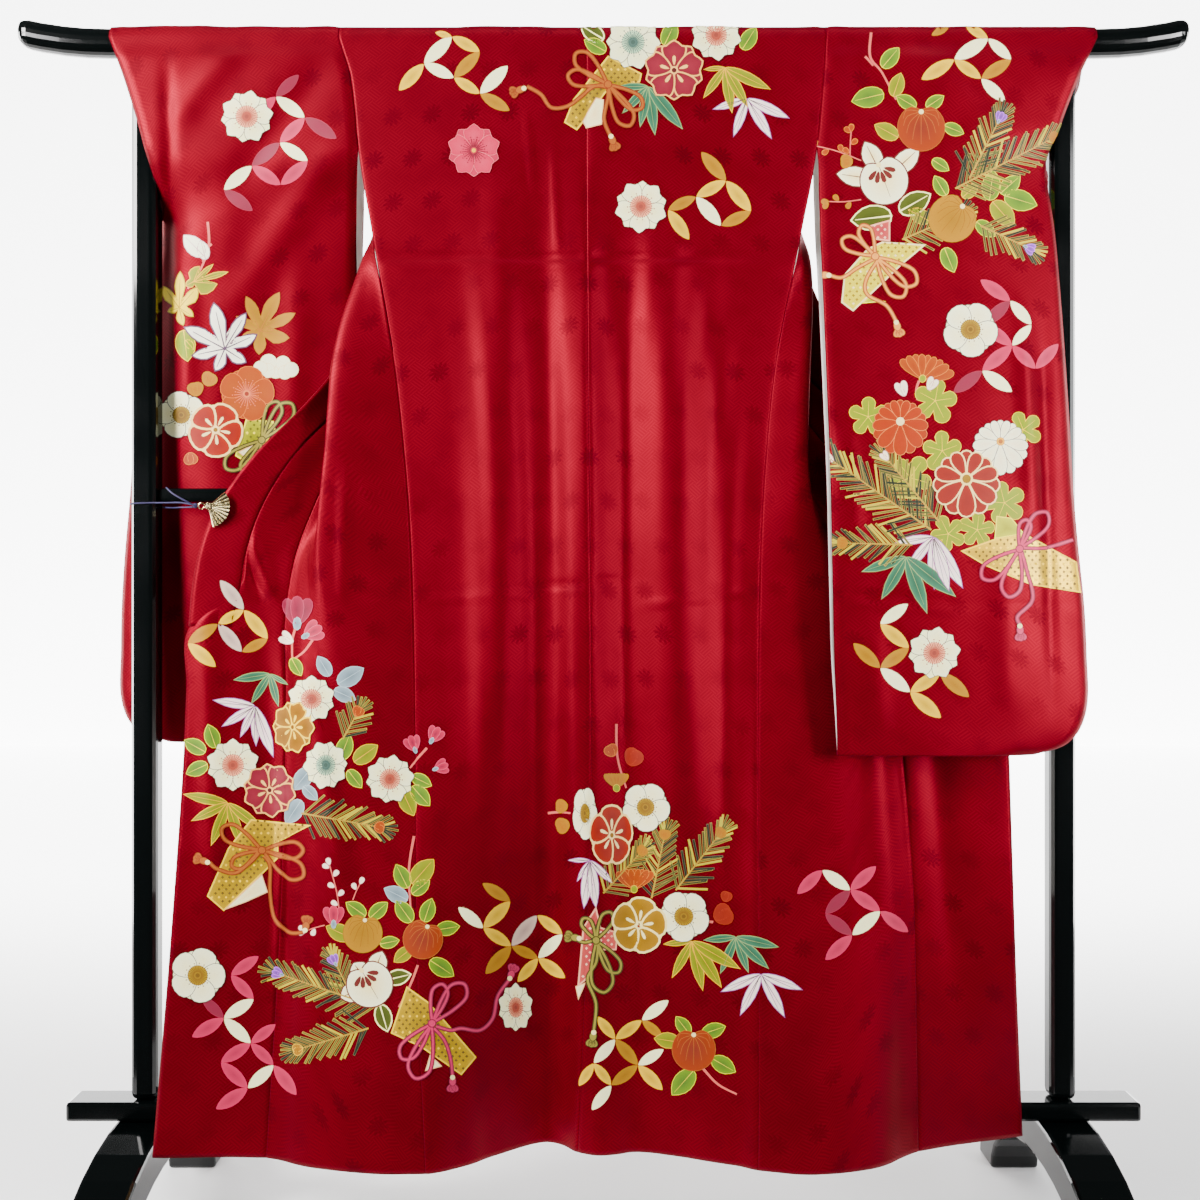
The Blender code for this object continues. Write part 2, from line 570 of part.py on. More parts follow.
def add_sleeve(group, side):
    """One sleeve: a length folded over the rail, its layers sewn at cuff side and bottom."""
    rows = [sleeve_row(side, 0, z) for z in SLEEVE_ROWS]
    for step in range(WRAP_STEPS + 1):
        rows.append(sleeve_wrap_row(side, math.pi * step / WRAP_STEPS))
    rows += [sleeve_row(side, 1, z) for z in reversed(SLEEVE_ROWS)]
    add_sheet(group, "sleeve_" + side, rows, WALL)


# Stand

def add_rail(group):
    """The top rail, its ends curving up."""
    shape = box_shape((RAIL_LENGTH, RAIL_DEPTH, RAIL_HEIGHT))
    bend = RAIL_LENGTH / 2 - RAIL_BEND_START
    for sign in (-1, 1):
        for k in range(RAIL_SLICES):
            x = sign * (RAIL_BEND_START + bend * k / RAIL_SLICES)
            everything = list(shape.verts) + list(shape.edges) + list(shape.faces)
            bmesh.ops.bisect_plane(shape, geom=everything, plane_co=(x, 0, 0), plane_no=(1, 0, 0))
    for vertex in shape.verts:
        out = max(abs(vertex.co.x) - RAIL_BEND_START, 0.0) / bend
        vertex.co.z += RAIL_AXIS_Z + RAIL_END_RISE * out ** 2
    rail = add_mesh(group, "top_rail", shape, "lacquer")
    add_bevel(rail, 0.017, 5)


def add_bar(group, name, size, place, rounding, segments):
    bar = add_mesh(group, name, box_shape(size), "lacquer")
    bar.location = place
    add_bevel(bar, rounding, segments)


def add_foot(group, name, x):
    """An arched foot running from front to back under the plank."""
    top = PLANK_TOP - PLANK_HEIGHT - JOINT_GAP
    outline = []
    for step in range(FOOT_STEPS + 1):
        angle = math.pi * step / FOOT_STEPS
        outline.append((FOOT_REACH * math.cos(angle), top * math.sin(angle)))
    for step in range(FOOT_STEPS + 1):
        angle = math.pi * (1 - step / FOOT_STEPS)
        outline.append((FOOT_INNER_REACH * math.cos(angle), (top - FOOT_THICKNESS) * math.sin(angle)))
    shape = bmesh.new()
    start = x - FOOT_WIDTH / 2
    face = shape.faces.new([shape.verts.new((start, y, z)) for y, z in outline])
    pushed = bmesh.ops.extrude_face_region(shape, geom=[face])
    moved = [item for item in pushed["geom"] if isinstance(item, bmesh.types.BMVert)]
    bmesh.ops.translate(shape, verts=moved, vec=(FOOT_WIDTH, 0, 0))
    foot = add_mesh(group, name, shape, "lacquer")
    add_bevel(foot, 0.005, 2, angle=60)


def add_stand(group):
    add_rail(group)
    rail_bottom = RAIL_TOP - RAIL_HEIGHT
    post_height = rail_bottom - PLANK_TOP - 2 * JOINT_GAP
    post_middle = PLANK_TOP + JOINT_GAP + post_height / 2
    for side, sign in SIDE_SIGN.items():
        size = (POST_SIZE, POST_SIZE, post_height)
        add_bar(group, "post_" + side, size, (sign * POST_X, 0, post_middle), 0.010, 3)
        add_foot(group, "foot_" + side, sign * POST_X)
    inner = 2 * POST_X - POST_SIZE - 2 * JOINT_GAP
    size = (inner, CROSSBAR_DEPTH, CROSSBAR_HEIGHT)
    add_bar(group, "crossbar", size, (0, 0, CROSSBAR_Z), 0.005, 2)
    size = (PLANK_LENGTH, PLANK_DEPTH, PLANK_HEIGHT)
    add_bar(group, "base_plank", size, (0, 0, PLANK_TOP - PLANK_HEIGHT / 2), 0.005, 2)


# Clip and cord

def fan_outline(depth):
    """One face of the pleated fan: an arc of ribs about its pivot."""
    count = FAN_RIBS * 2
    inner = []
    outer = []
    for step in range(count + 1):
        angle = FAN_START + (FAN_END - FAN_START) * step / count
        pleat = FAN_PLEAT if step % 2 else -FAN_PLEAT
        way = Vector((math.cos(angle), 0, math.sin(angle)))
        inner.append(CLIP_PIVOT + way * FAN_HUB + Vector((0, depth, 0)))
        outer.append(CLIP_PIVOT + way * FAN_RADIUS + Vector((0, depth + pleat, 0)))
    return [inner, outer]


def add_clip(group):
    """The fan clip: a pleated fan before the cloth, a plain jaw behind it, hub and ring."""
    add_sheet(group, "clip_fan", fan_outline(-FAN_WALL), FAN_WALL, "gold")
    hub = bmesh.new()
    length = HUB_BACK - HUB_FRONT
    bmesh.ops.create_cone(hub, cap_ends=True, segments=20, radius1=HUB_RADIUS,
                          radius2=HUB_RADIUS, depth=length)
    hub = add_mesh(group, "clip_hub", hub, "gold")
    hub.location = (CLIP_PIVOT.x, (HUB_BACK + HUB_FRONT) / 2, CLIP_PIVOT.z)
    hub.rotation_euler = (math.radians(90), 0, 0)
    jaw = add_mesh(group, "clip_jaw", box_shape((JAW_LENGTH, FAN_WALL, JAW_HEIGHT)), "gold")
    middle = CLIP_PIVOT.x - HUB_RADIUS + JAW_LENGTH / 2
    jaw.location = (middle, HUB_BACK + JOINT_GAP + FAN_WALL / 2, CLIP_PIVOT.z)
    out = HUB_RADIUS + 1.2 * JOINT_GAP + RING_RADIUS + RING_WIRE
    place = (CLIP_PIVOT.x - out, CLIP_PIVOT.y, CLIP_PIVOT.z)
    bpy.ops.mesh.primitive_torus_add(major_segments=20, minor_segments=8,
                                     major_radius=RING_RADIUS, minor_radius=RING_WIRE,
                                     location=place, rotation=(math.radians(90), 0, 0))
    ring = bpy.context.object
    ring.name = "clip_ring"
    ring.data.materials.append(new_material("clip_ring_finish", "gold"))
    for holder in list(ring.users_collection):
        holder.objects.unlink(ring)
    group.objects.link(ring)


def cord_route(points, count):
    """Points along a smooth curve through the route's own points."""
    places = [Vector(point) for point in points]
    route = []
    for k in range(len(places) - 1):
        before = places[max(k - 1, 0)]
        start = places[k]
        end = places[k + 1]
        after = places[min(k + 2, len(places) - 1)]
        for step in range(count):
            t = step / count
            route.append(0.5 * (2 * start + (end - before) * t
                         + (2 * before - 5 * start + 4 * end - after) * t ** 2
                         + (3 * start - before - 3 * end + after) * t ** 3))
    route.append(places[-1])
    return route


def add_cord(group, name, points):
    curve = bpy.data.curves.new(name, "CURVE")
    curve.dimensions = "3D"
    curve.bevel_depth = CORD_DIAMETER / 2
    curve.bevel_resolution = 2
    curve.use_fill_caps = True
    route = cord_route(points, CORD_POINTS_PER_CONTROL)
    spline = curve.splines.new("POLY")
    spline.points.add(len(route) - 1)
    for point, place in zip(spline.points, route):
        point.co = (*place, 1.0)
    add_object(group, name, curve, "purple_cord")


def add_knot(group):
    shape = bmesh.new()
    bmesh.ops.create_uvsphere(shape, u_segments=12, v_segments=8, radius=KNOT_RADIUS)
    knot = add_mesh(group, "cord_knot", shape, "purple_cord")
    knot.location = KNOT_CENTRE


def main():
    clear_scene()
    group = new_collection("furisode_on_stand")
    add_stand(group)
    for side in SIDE_SIGN:
        add_body(group, side)
        add_okumi(group, side)
        add_sleeve(group, side)
    add_collar(group)
    add_clip(group)
    add_cord(group, "cord_loop", CORD_LOOP)
    add_cord(group, "cord_tail", CORD_TAIL)
    add_knot(group)


main()
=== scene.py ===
# Looks of a furisode that hangs on a black lacquer kimono stand, seen from its back.
# Metres, +Z up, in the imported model's frame. The viewer is at -Y.

import math
import random
from collections import namedtuple

import bmesh
import bpy
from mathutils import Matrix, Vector, noise
from mathutils.bvhtree import BVHTree
from mathutils.interpolate import poly_3d_calc


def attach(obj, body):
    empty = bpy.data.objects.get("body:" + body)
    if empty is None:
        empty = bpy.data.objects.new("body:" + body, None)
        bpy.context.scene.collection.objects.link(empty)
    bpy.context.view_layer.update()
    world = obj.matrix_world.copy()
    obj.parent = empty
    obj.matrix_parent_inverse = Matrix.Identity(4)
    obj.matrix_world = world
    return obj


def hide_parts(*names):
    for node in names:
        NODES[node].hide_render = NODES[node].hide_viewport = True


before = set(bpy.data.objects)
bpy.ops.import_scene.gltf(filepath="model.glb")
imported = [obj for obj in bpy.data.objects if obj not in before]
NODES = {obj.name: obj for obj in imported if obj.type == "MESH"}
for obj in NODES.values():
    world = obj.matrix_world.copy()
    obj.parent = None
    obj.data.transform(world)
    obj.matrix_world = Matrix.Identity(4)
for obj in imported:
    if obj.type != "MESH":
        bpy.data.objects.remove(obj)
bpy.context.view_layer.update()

# Camera of the photograph, and the size of one of its pixels in the rail's plane
EYE = Vector((-0.005, -1.8, 0.909))
PIXEL = 0.0014425
PICTURE_CENTRE = 600
SENSOR = 36.0
PICTURE_WIDTH = 1200

# Rail that the cloth hangs on, and the cord
RAIL_TOP = 1.731
RAIL_HEIGHT = 0.040
CORD_DIAMETER = 0.0022

# Surface of the cloth: fineness, unevenness, creases, seams and bumps over the rail
CLOTH_PITCH = 0.0070
RIPPLE = 0.0012
RIPPLE_RATE = (9, 5)
SLEEVE_FULLNESS = 0.0032
CREASE_GAIN = 1.5
RAIL_BUMP = 0.0030
RAIL_BUMP_RATE = 17.0
BUMP_RUN = 0.012
BUMP_EDGE = 0.02
RAIL_CALM = 0.03
RAIL_STILL = 0.006
EDGE_CALM = 0.012
CREASE_RUN_OUT = 0.1
CREASE_FULL = 0.25
SEAM_DIP = 0.0007
SEAM_REACH = 0.004
FRONT_TURN = (1.18, 1.34)
REAR_SHIFT = (37, 21)

# Colours of the silk and its lining, 0 to 255, and how far the facings reach
CRIMSON = (90, 0, 15)
CRIMSON_LINE = (104, 0, 20)
CRIMSON_DEEP = (76, 0, 11)
CRIMSON_BLOOM = (60, 0, 8)
LINING_WHITE = (232, 228, 224)
LINING_SHADE = (222, 214, 208)
HEM_FACING_TOP = 0.45
SLEEVE_FACING = 0.12
FACING_EDGE = 0.002

# Figured weave: blocks of fret lines, and blossoms in a brick layout
FRET_BLOCK = 0.021
FRET_LINES = 4
FRET_SLANT = 0.8
BLOOM_STEP = 0.055
BLOOM_ROW = 0.062
BLOOM_REACH = 0.0150
BLOOM_CORE = 0.0057
BLOOM_EDGE = 0.0012
BLOOM_LEAN = 0.25
BLOOM_PETALS = 10
FRET_EDGE = (0.17, 0.33)
THREAD_RATE = 1400.0
SPECKLE = (0.35, 0.62)
PATCH_RATE = 4.0
PATCHES = (0.42, 0.62, 0.25, 0.9)
CLOUDY = (0.3, 0.7)

# Fan clip, for the painted light and shade of its pleats: pivot (x, z), the angle of its first rib and the
# angle from rib to rib
FAN_PIVOT = (-0.5505, 1.0400)
FAN_START = math.radians(-78)
FAN_RIB = math.radians(118 / 11)

# Cloth: walls, parts across and heights along it
WALL = 0.0015
COLLAR_WALL = 0.0024
HEM_Z = 0.149
RAIL_AXIS_Z = RAIL_TOP - RAIL_HEIGHT / 2
WRAP_RADIUS = 0.0216
WRAP_STEPS = 10
HEM_LEAN = 0.100
BACK_PARTS = [0.0, 0.02, 0.11, 0.21, 0.31, 0.41, 0.51, 0.61, 0.71, 0.81, 0.9, 0.98, 1.0]
FRONT_PARTS = [0.0, 0.03, 0.14, 0.26, 0.36, 0.44, 0.54, 0.65, 0.74, 0.82, 0.90, 0.97, 1.0]
FOLD_PART = 0.36
TURN_PART = 0.74
OKUMI_COLUMNS = [0.0, 0.04, 0.28, 0.52, 0.76, 1.0]
COLLAR_COLUMNS = 2
SLEEVE_PARTS = [0.0, 0.02, 0.16, 0.32, 0.48, 0.64, 0.80, 0.91, 1.0]
ARMHOLE_END = 1.550
OKUMI_TOP = 1.450
OKUMI_STEP = 0.872
SIDE_SEAM_TOP = 1.400
COLLAR_END = 0.8725
COLLAR_TURN = (1.300, 1.400)
NECK_SEAM_Z = 1.687
SLEEVE_BOTTOM = 0.700
SLEEVE_CORNER = 0.072
LAYER_STEP = WALL + 0.0010
PUFF_EDGE = 0.45

# Heights of the rows of the body, okumi and sleeve sheets, hem to rail
SHARED_ROWS = [1.550, 1.575, 1.600, 1.655, 1.680, 1.687, 1.699]
BODY_ROWS = [
    HEM_Z, 0.220, 0.310, 0.400, 0.500, 0.600, 0.700, 0.790, 0.868, 0.872,
    0.930, 0.980, 1.030, 1.075, 1.120, 1.180, 1.240, 1.300, 1.350, 1.400, 1.450, 1.500,
] + SHARED_ROWS
SLEEVE_ROWS = [
    SLEEVE_BOTTOM, 0.712, 0.735, 0.772, 0.830, 0.900, 0.980, 1.060, 1.120, 1.180, 1.260,
    1.340, 1.380, 1.420, 1.455, 1.490, 1.530,
] + SHARED_ROWS

# Tables of the form are in millimetres.
MILLIMETRES = 1000

# Seams of the back: centre seam and the left and right outer edges (armhole, then side seam)
BACK_COLUMNS = ("z", "centre", "left", "right")
BACK_TABLE = [
    (149, -35, -236, 206), (480, -22, -254, 211), (750, -16, -261, 214), (970, -18, -268, 219),
    (1195, -21, -288, 236), (1410, -23, -324, 276), (1550, -24, -348, 303), (1640, -24, -357, 312),
    (1711, -24, -377, 318),
]

# Depth of the hem's wave across the garment, negative towards the viewer
HEM_COLUMNS = ("x", "depth")
HEM_TABLE = [
    (-620, 0), (-460, 0), (-395, -28), (-302, -48), (-236, -48), (-190, -25), (-150, 10), (-70, 48),
    (-35, 20), (0, 8), (45, 16), (100, 8), (165, -19), (250, -50), (320, -44), (420, 10), (490, 54),
    (600, 70),
]

# Long folds of the back: place at the yoke, at the crossbar and at the hem,
# height towards the viewer (negative is a hollow) and half width
FOLD_COLUMNS = ("yoke", "waist", "hem", "rise", "reach")
FOLD_TABLE = [
    (-0.15, -0.148, -0.165, 0.012, 0.034), (-0.095, -0.084, -0.092, -0.013, 0.028),
    (-0.034, -0.028, -0.03, 0.012, 0.026), (0.022, 0.032, 0.048, -0.014, 0.026),
    (0.075, 0.102, 0.12, 0.013, 0.034), (0.14, 0.17, 0.19, -0.009, 0.026),
]

# Heights between which the folds and the wave come and go
WAIST_Z = 1.06
YOKE_Z = 1.50
FOLD_START = (1.60, 1.15)
FOLD_LOSS = 0.75
FOLD_LOSS_TOP = 0.75
FOLD_CALM = 0.035
WAVE_TOP = 0.95
WAVE_POWER = 1.3

# Left front: sections from the side seam (side) by the fold edge (fold) and the
# hidden turn (turn) to the okumi seam (seam), the collar seam (edge) and the outer
# edge of the collar (rim); x then y of each
FRONT_COLUMNS = (
    "z", "side_x", "side_y", "fold_x", "fold_y", "turn_x", "turn_y", "seam_x", "seam_y", "edge_x", "edge_y",
    "rim_x", "rim_y",
)
LEFT_FRONT = [
    (149, -236, -148, -302, -148, -395, -128, -460, -100, -615, -100, -615, -100),
    (480, -254, -83, -330, -101, -400, -92, -447, -74, -592, -86, -592, -86),
    (750, -261, -70, -350, -85, -408, -78, -443, -60, -579, -72, -579, -72),
    (868, -265, -66, -375, -78, -420, -66, -447, -52, -577, -66, -577, -66),
    (872, -265, -66, -376, -78, -420, -66, -447, -52, -520, -60, -577, -66),
    (980, -269, -61, -395, -75, -410, -52, -432, -40, -500, -54, -563, -62),
    (1037, -273, -58, -394, -72, -375, -38, -412, -32, -482, -48, -542, -58),
    (1100, -279, -54, -389, -66, -335, -20, -385, -22, -447, -40, -500, -52),
    (1250, -299, -44, -380, -50, -280, 62, -304, 56, -338, 30, -381, -12),
    (1360, -315, -36, -354, -28, -240, 66, -262, 76, -300, 52, -350, 4),
    (1400, -322, -30, -343, -12, -225, 66, -248, 80, -285, 66, -334, 26),
    (1450, -331, 4, -329, 26, -212, 52, -228, 66, -252, 68, -302, 68),
    (1500, -340, 18, -318, 24, -220, 40, -224, 58, -224, 58, -248, 106),
    (1550, -348, 26, -310, 30, -250, 33, -212, 42, -212, 42, -186, 88),
    (1600, -353, 25, -310, 28, -250, 31, -190, 35, -190, 35, -148, 54),
    (1655, -360, 24, -290, 26, -210, 29, -125, 30, -125, 30, -88, 35),
    (1680, -366, 23, -280, 24, -180, 25, -75, 26, -75, 26, -62, 35),
    (1687, -367, 22, -270, 23, -150, 24, -25, 25, -25, 25, -24, 35),
    (1699, -370, 21.6, -265, 21.6, -145, 21.6, -24.5, 21.6, -24.5, 21.6, -24, 35),
    (1711, -372, 21.6, -262, 21.6, -143, 21.6, -24, 21.6, -24, 21.6, -24, 35),
]
RIGHT_FRONT = [
    (149, 206, -142, 275, -150, 365, -130, 434, -80, 594, -30, 594, -30),
    (480, 211, -86, 290, -101, 370, -92, 430, -74, 566, -80, 566, -80),
    (750, 214, -72, 300, -85, 370, -78, 412, -62, 561, -70, 561, -70),
    (868, 216, -66, 302, -78, 378, -66, 406, -54, 560, -64, 560, -64),
    (872, 216, -66, 303, -78, 378, -66, 406, -54, 503, -60, 560, -64),
    (980, 219, -61, 300, -75, 345, -50, 388, -40, 483, -54, 546, -62),
    (1037, 221, -58, 290, -72, 310, -38, 365, -32, 465, -48, 525, -58),
    (1100, 224, -54, 284, -66, 262, -20, 335, -20, 430, -40, 483, -52),
    (1250, 244, -44, 290, -50, 224, 62, 250, 56, 290, 34, 346, -2),
    (1360, 265, -36, 296, -28, 190, 66, 212, 76, 252, 54, 304, 8),
    (1400, 274, -30, 294, -12, 177, 66, 200, 80, 238, 66, 288, 26),
    (1450, 285, 2, 283, 24, 164, 52, 180, 66, 204, 68, 254, 68),
    (1500, 294, 8, 266, 22, 172, 40, 176, 58, 176, 58, 200, 106),
    (1550, 303, 12, 262, 26, 202, 33, 164, 42, 164, 42, 138, 88),
    (1600, 308, 18, 262, 26, 202, 31, 142, 35, 142, 35, 100, 54),
    (1655, 313, 21, 242, 26, 162, 29, 77, 30, 77, 30, 40, 35),
    (1680, 315, 21.6, 232, 24, 132, 25, 27, 26, 27, 26, 14, 35),
    (1687, 316, 21.6, 222, 23, 102, 24, -23, 25, -23, 25, -24, 35),
    (1699, 317, 21.6, 217, 21.6, 97, 21.6, -23.5, 21.6, -23.5, 21.6, -24, 35),
    (1711, 318, 21.6, 214, 21.6, 95, 21.6, -24, 21.6, -24, 21.6, -24, 35),
]
# Lift of the collar's outer edge under its seam near the neck
RIM_DROP_COLUMNS = ("z", "drop")
RIM_DROP = [
    (1550, 0), (1600, 24), (1655, 49), (1680, 57), (1687, 59), (1711, 59),
]

# Sleeves: sections from the body side (inner) to the cuff side (outer), x then y,
# of the layer on the viewer's side (near) and the layer behind it (far)
NEAR_COLUMNS = (
    "z", "inner_x", "inner_y", "mid_x", "mid_y", "ridge_x", "ridge_y", "outer_x", "outer_y", "puff",
)
FAR_COLUMNS = NEAR_COLUMNS[:-1]
LEFT_NEAR = [
    (700, -358, 40, -480, 38, -600, 40, -714, 46, 0), (740, -358, 38, -480, 36, -600, 38, -714, 46, 8),
    (900, -358, 34, -480, 30, -600, 30, -712, 46, 28), (1060, -358, 32, -475, 26, -600, 21, -700, 46, 36),
    (1180, -358, 28, -475, 23, -600, 15, -690, 44, 40), (1340, -358, 16, -470, 11, -596, 6, -668, 40, 42),
    (1420, -357, 2, -465, -1, -588, -4, -648, 28, 48),
    (1455, -355.5, -4, -462.5, -7.5, -577, -9, -644, 21.5, 51),
    (1490, -354, -10, -460, -14, -565, -15, -639.2, -3, 54),
    (1550, -349, -29, -460, -27, -565, -27, -652, -27, 54),
    (1640, -358, -26, -470, -27, -580, -27, -678, -26, 54),
    (1711, -377, -21.6, -485, -21.6, -598, -21.6, -705, -21.6, 54),
]
LEFT_FAR = [
    (1530, -351, 30, -465, 38, -560, 38, -640, 24), (1550, -349, 26, -465, 35, -565, 35, -652, 28),
    (1640, -358, 24, -470, 26, -585, 28, -692, 26), (1711, -377, 19.1, -485, 19.1, -598, 19.1, -705, 19.1),
]
RIGHT_NEAR = [
    (700, 315, -118, 430, -122, 560, -120, 656, -108, 0),
    (740, 314, -119, 430, -123, 560, -121, 656, -108, 8),
    (850, 310, -120, 430, -126, 560, -124, 655, -106, 24),
    (1050, 307, -114, 430, -118, 560, -112, 643, -92, 27),
    (1190, 306, -92, 430, -96, 560, -92, 640, -78, 30), (1360, 305, -60, 430, -64, 555, -64, 636, -56, 34),
    (1430, 304, -48, 430, -52, 552, -52, 634, -44, 38), (1530, 304, -34, 430, -37, 550, -36, 630, -22, 42),
    (1575, 305, -29, 430, -32, 555, -32, 646, -28, 42), (1640, 312, -26, 435, -28, 560, -29, 670, -28, 42),
    (1711, 318, -21.6, 445, -21.6, 575, -21.6, 704, -21.6, 42),
]
RIGHT_FAR = [
    (1550, 303, 9, 430, 9, 550, 9, 629, 2), (1575, 305, 13, 430, 14, 555, 16, 632, 25),
    (1600, 308, 16, 435, 18, 560, 21, 664, 27), (1640, 312, 18, 435, 21, 560, 24, 690, 24),
    (1711, 318, 19.1, 445, 19.1, 575, 19.1, 704, 19.1),
]
CUFF_END = {"left": 1.490, "right": 1.530}

# Row of the sleeve sheets where the sewn cuff side ends and the open cuff starts
CUFF_ROWS = {"left": 15, "right": 16}

# Studio: profiles (y, z) of the floor and backdrop, and the lights
FLOOR_WIDTH = 12.0
FLOOR_PROFILE = [(-0.42, 0.0), (6.4, 0.0)]
BACKDROP_PROFILE = [(6.0, -0.01), (6.0, 6.0)]
BACKDROP_GLOW = 6.0
FLOOR_GLOW_RUN = (0.2, 2.4)
WORLD_STRENGTH = 0.10
LIGHT_COLUMNS = "name place target width height power spread colour".split()
LIGHTS = [
    ("key_softbox", (-2.5, -1.65, 2.5), (0.0, 0.0, 1.0), 1.1, 1.1, 325.0, math.pi, (1.0, 0.98, 0.97)),
    ("fill_softbox", (2.4, -2.0, 1.5), (0.1, 0.0, 0.8), 1.0, 1.8, 88.0, math.pi, (0.98, 0.98, 1.0)),
    ("left_rim_box", (-2.4, 0.6, 1.15), (-0.66, 0.0, 1.15), 0.6, 2.3, 12.0, 1.0, (1.0, 1.0, 1.0)),
    ("right_rim_box", (2.4, 0.6, 1.15), (0.66, 0.0, 1.15), 0.6, 2.3, 12.0, 1.0, (1.0, 1.0, 1.0)),
    ("left_sleeve_box", (-1.6, -1.35, 1.3), (-0.56, 0.0, 1.2), 0.4, 1.4, 5.0, 0.7, (1.0, 0.98, 0.99)),
    ("right_sleeve_box", (1.6, -1.35, 1.3), (0.56, 0.0, 1.15), 0.4, 1.4, 6.0, 0.7, (1.0, 0.98, 0.99)),
    ("top_strip", (0.0, -0.7, 3.3), (0.0, 0.0, 1.2), 2.4, 0.3, 20.0, math.pi, (1.0, 1.0, 1.0)),
]

# Route of the cord: from the knot round the left post and back to the knot
CORD_LOOP = [
    (-0.5734, -0.0582, 1.0422), (-0.595, -0.044, 1.046), (-0.62, -0.029, 1.047), (-0.649, -0.0203, 1.0475),
    (-0.6665, -0.02, 1.047), (-0.6748, -0.0168, 1.0468), (-0.6781, -0.0085, 1.0465),
    (-0.6781, 0.0085, 1.046), (-0.6748, 0.0168, 1.0455), (-0.6665, 0.02, 1.045), (-0.65, 0.02, 1.0445),
    (-0.6408, 0.0165, 1.044), (-0.633, 0.002, 1.0425), (-0.615, -0.02, 1.0405), (-0.593, -0.042, 1.0395),
    (-0.5732, -0.0586, 1.0386),
]
CORD_TAIL = [
    (-0.5716, -0.064, 1.0415), (-0.583, -0.068, 1.048), (-0.599, -0.065, 1.057), (-0.611, -0.056, 1.066),
]
CORD_POINTS_PER_CONTROL = 3

# Smooth interpolation of a table with named columns

def slopes_of(places, values):
    steps = [b - a for a, b in zip(places, places[1:])]
    rates = [(b - a) / step for a, b, step in zip(values, values[1:], steps)]
    slopes = [rates[0]]
    for before, after in zip(rates, rates[1:]):
        if before * after <= 0:
            slopes.append(0.0)
        else:
            slopes.append(2 * before * after / (before + after))
    slopes.append(rates[-1])
    return slopes


def centred_slopes(marks, values):
    slopes = [(values[1] - values[0]) / (marks[1] - marks[0])]
    for k in range(1, len(values) - 1):
        slopes.append((values[k + 1] - values[k - 1]) / (marks[k + 1] - marks[k - 1]))
    slopes.append((values[-1] - values[-2]) / (marks[-1] - marks[-2]))
    return slopes


def stretch_value(places, values, slopes, k, at):
    """Value at a place of the smooth line's stretch number k."""
    step = places[k + 1] - places[k]
    t = (at - places[k]) / step
    pull = (slopes[k] * step, slopes[k + 1] * step)
    return (values[k] * (2 * t ** 3 - 3 * t ** 2 + 1) + pull[0] * (t ** 3 - 2 * t ** 2 + t)
            + values[k + 1] * (3 * t ** 2 - 2 * t ** 3) + pull[1] * (t ** 3 - t ** 2))


def hermite(places, values, slopes, at):
    at = min(max(at, places[0]), places[-1])
    k = 0
    while k < len(places) - 2 and at > places[k + 1]:
        k += 1
    return stretch_value(places, values, slopes, k, at)


class Table:
    """Rows of a table, in millimetres, read as smooth functions of its first column in metres."""

    def __init__(self, columns, rows):
        rows = [[round(value / MILLIMETRES, 5) for value in row] for row in rows]
        self.places = [row[0] for row in rows]
        self.values = {}
        self.slopes = {}
        for index, name in enumerate(columns[1:], start=1):
            self.values[name] = [row[index] for row in rows]
            self.slopes[name] = slopes_of(self.places, self.values[name])

    def at(self, name, place):
        return hermite(self.places, self.values[name], self.slopes[name], place)


class Section:
    """A smooth line through a few (x, y) points, read by its length from 0 to 1."""

    def __init__(self, points):
        self.marks = [0.0]
        for (x0, y0), (x1, y1) in zip(points, points[1:]):
            self.marks.append(self.marks[-1] + max(math.hypot(x1 - x0, y1 - y0), 1e-6))
        self.xs = [point[0] for point in points]
        self.ys = [point[1] for point in points]
        self.x_slopes = centred_slopes(self.marks, self.xs)
        self.y_slopes = centred_slopes(self.marks, self.ys)

    def point(self, length):
        x = hermite(self.marks, self.xs, self.x_slopes, length)
        y = hermite(self.marks, self.ys, self.y_slopes, length)
        return x, y


BACK = Table(BACK_COLUMNS, BACK_TABLE)
HEM = Table(HEM_COLUMNS, HEM_TABLE)
FOLDS = [dict(zip(FOLD_COLUMNS, row)) for row in FOLD_TABLE]
FRONTS = {"left": Table(FRONT_COLUMNS, LEFT_FRONT), "right": Table(FRONT_COLUMNS, RIGHT_FRONT)}
RIM = Table(RIM_DROP_COLUMNS, RIM_DROP)
SLEEVES = {
    "left": (Table(NEAR_COLUMNS, LEFT_NEAR), Table(FAR_COLUMNS, LEFT_FAR)),
    "right": (Table(NEAR_COLUMNS, RIGHT_NEAR), Table(FAR_COLUMNS, RIGHT_FAR)),
}
SIDE_SIGN = {"left": -1, "right": 1}


def fade(start, end, value):
    t = min(max((value - start) / (end - start), 0.0), 1.0)
    return t * t * (3 - 2 * t)


# Shape of the cloth

def back_depth(x, z):
    """Depth of the back panels: a slight lean, long folds and the hem's wave."""
    fall = (RAIL_AXIS_Z - z) / (RAIL_AXIS_Z - HEM_Z)
    depth = -WRAP_RADIUS - (HEM_LEAN - WRAP_RADIUS) * fall
    folds = 0.0
    for fold in FOLDS:
        upper = (fold["yoke"] - fold["waist"]) * fade(WAIST_Z, YOKE_Z, z)
        lower = (fold["hem"] - fold["waist"]) * fade(WAIST_Z, HEM_Z, z)
        place = fold["waist"] + upper + lower
        folds -= fold["rise"] * math.exp(-((x - place) / fold["reach"]) ** 2)
    strength = fade(*FOLD_START, z) * (1 - FOLD_LOSS * fade(FOLD_LOSS_TOP, HEM_Z, z))
    wave = HEM.at("depth", x) * fade(WAVE_TOP, HEM_Z, z) ** WAVE_POWER
    edge = min(abs(x - BACK.at("left", z)), abs(x - BACK.at("right", z)))
    calm = fade(0.0, FOLD_CALM, edge)
    return depth + folds * strength * calm + wave


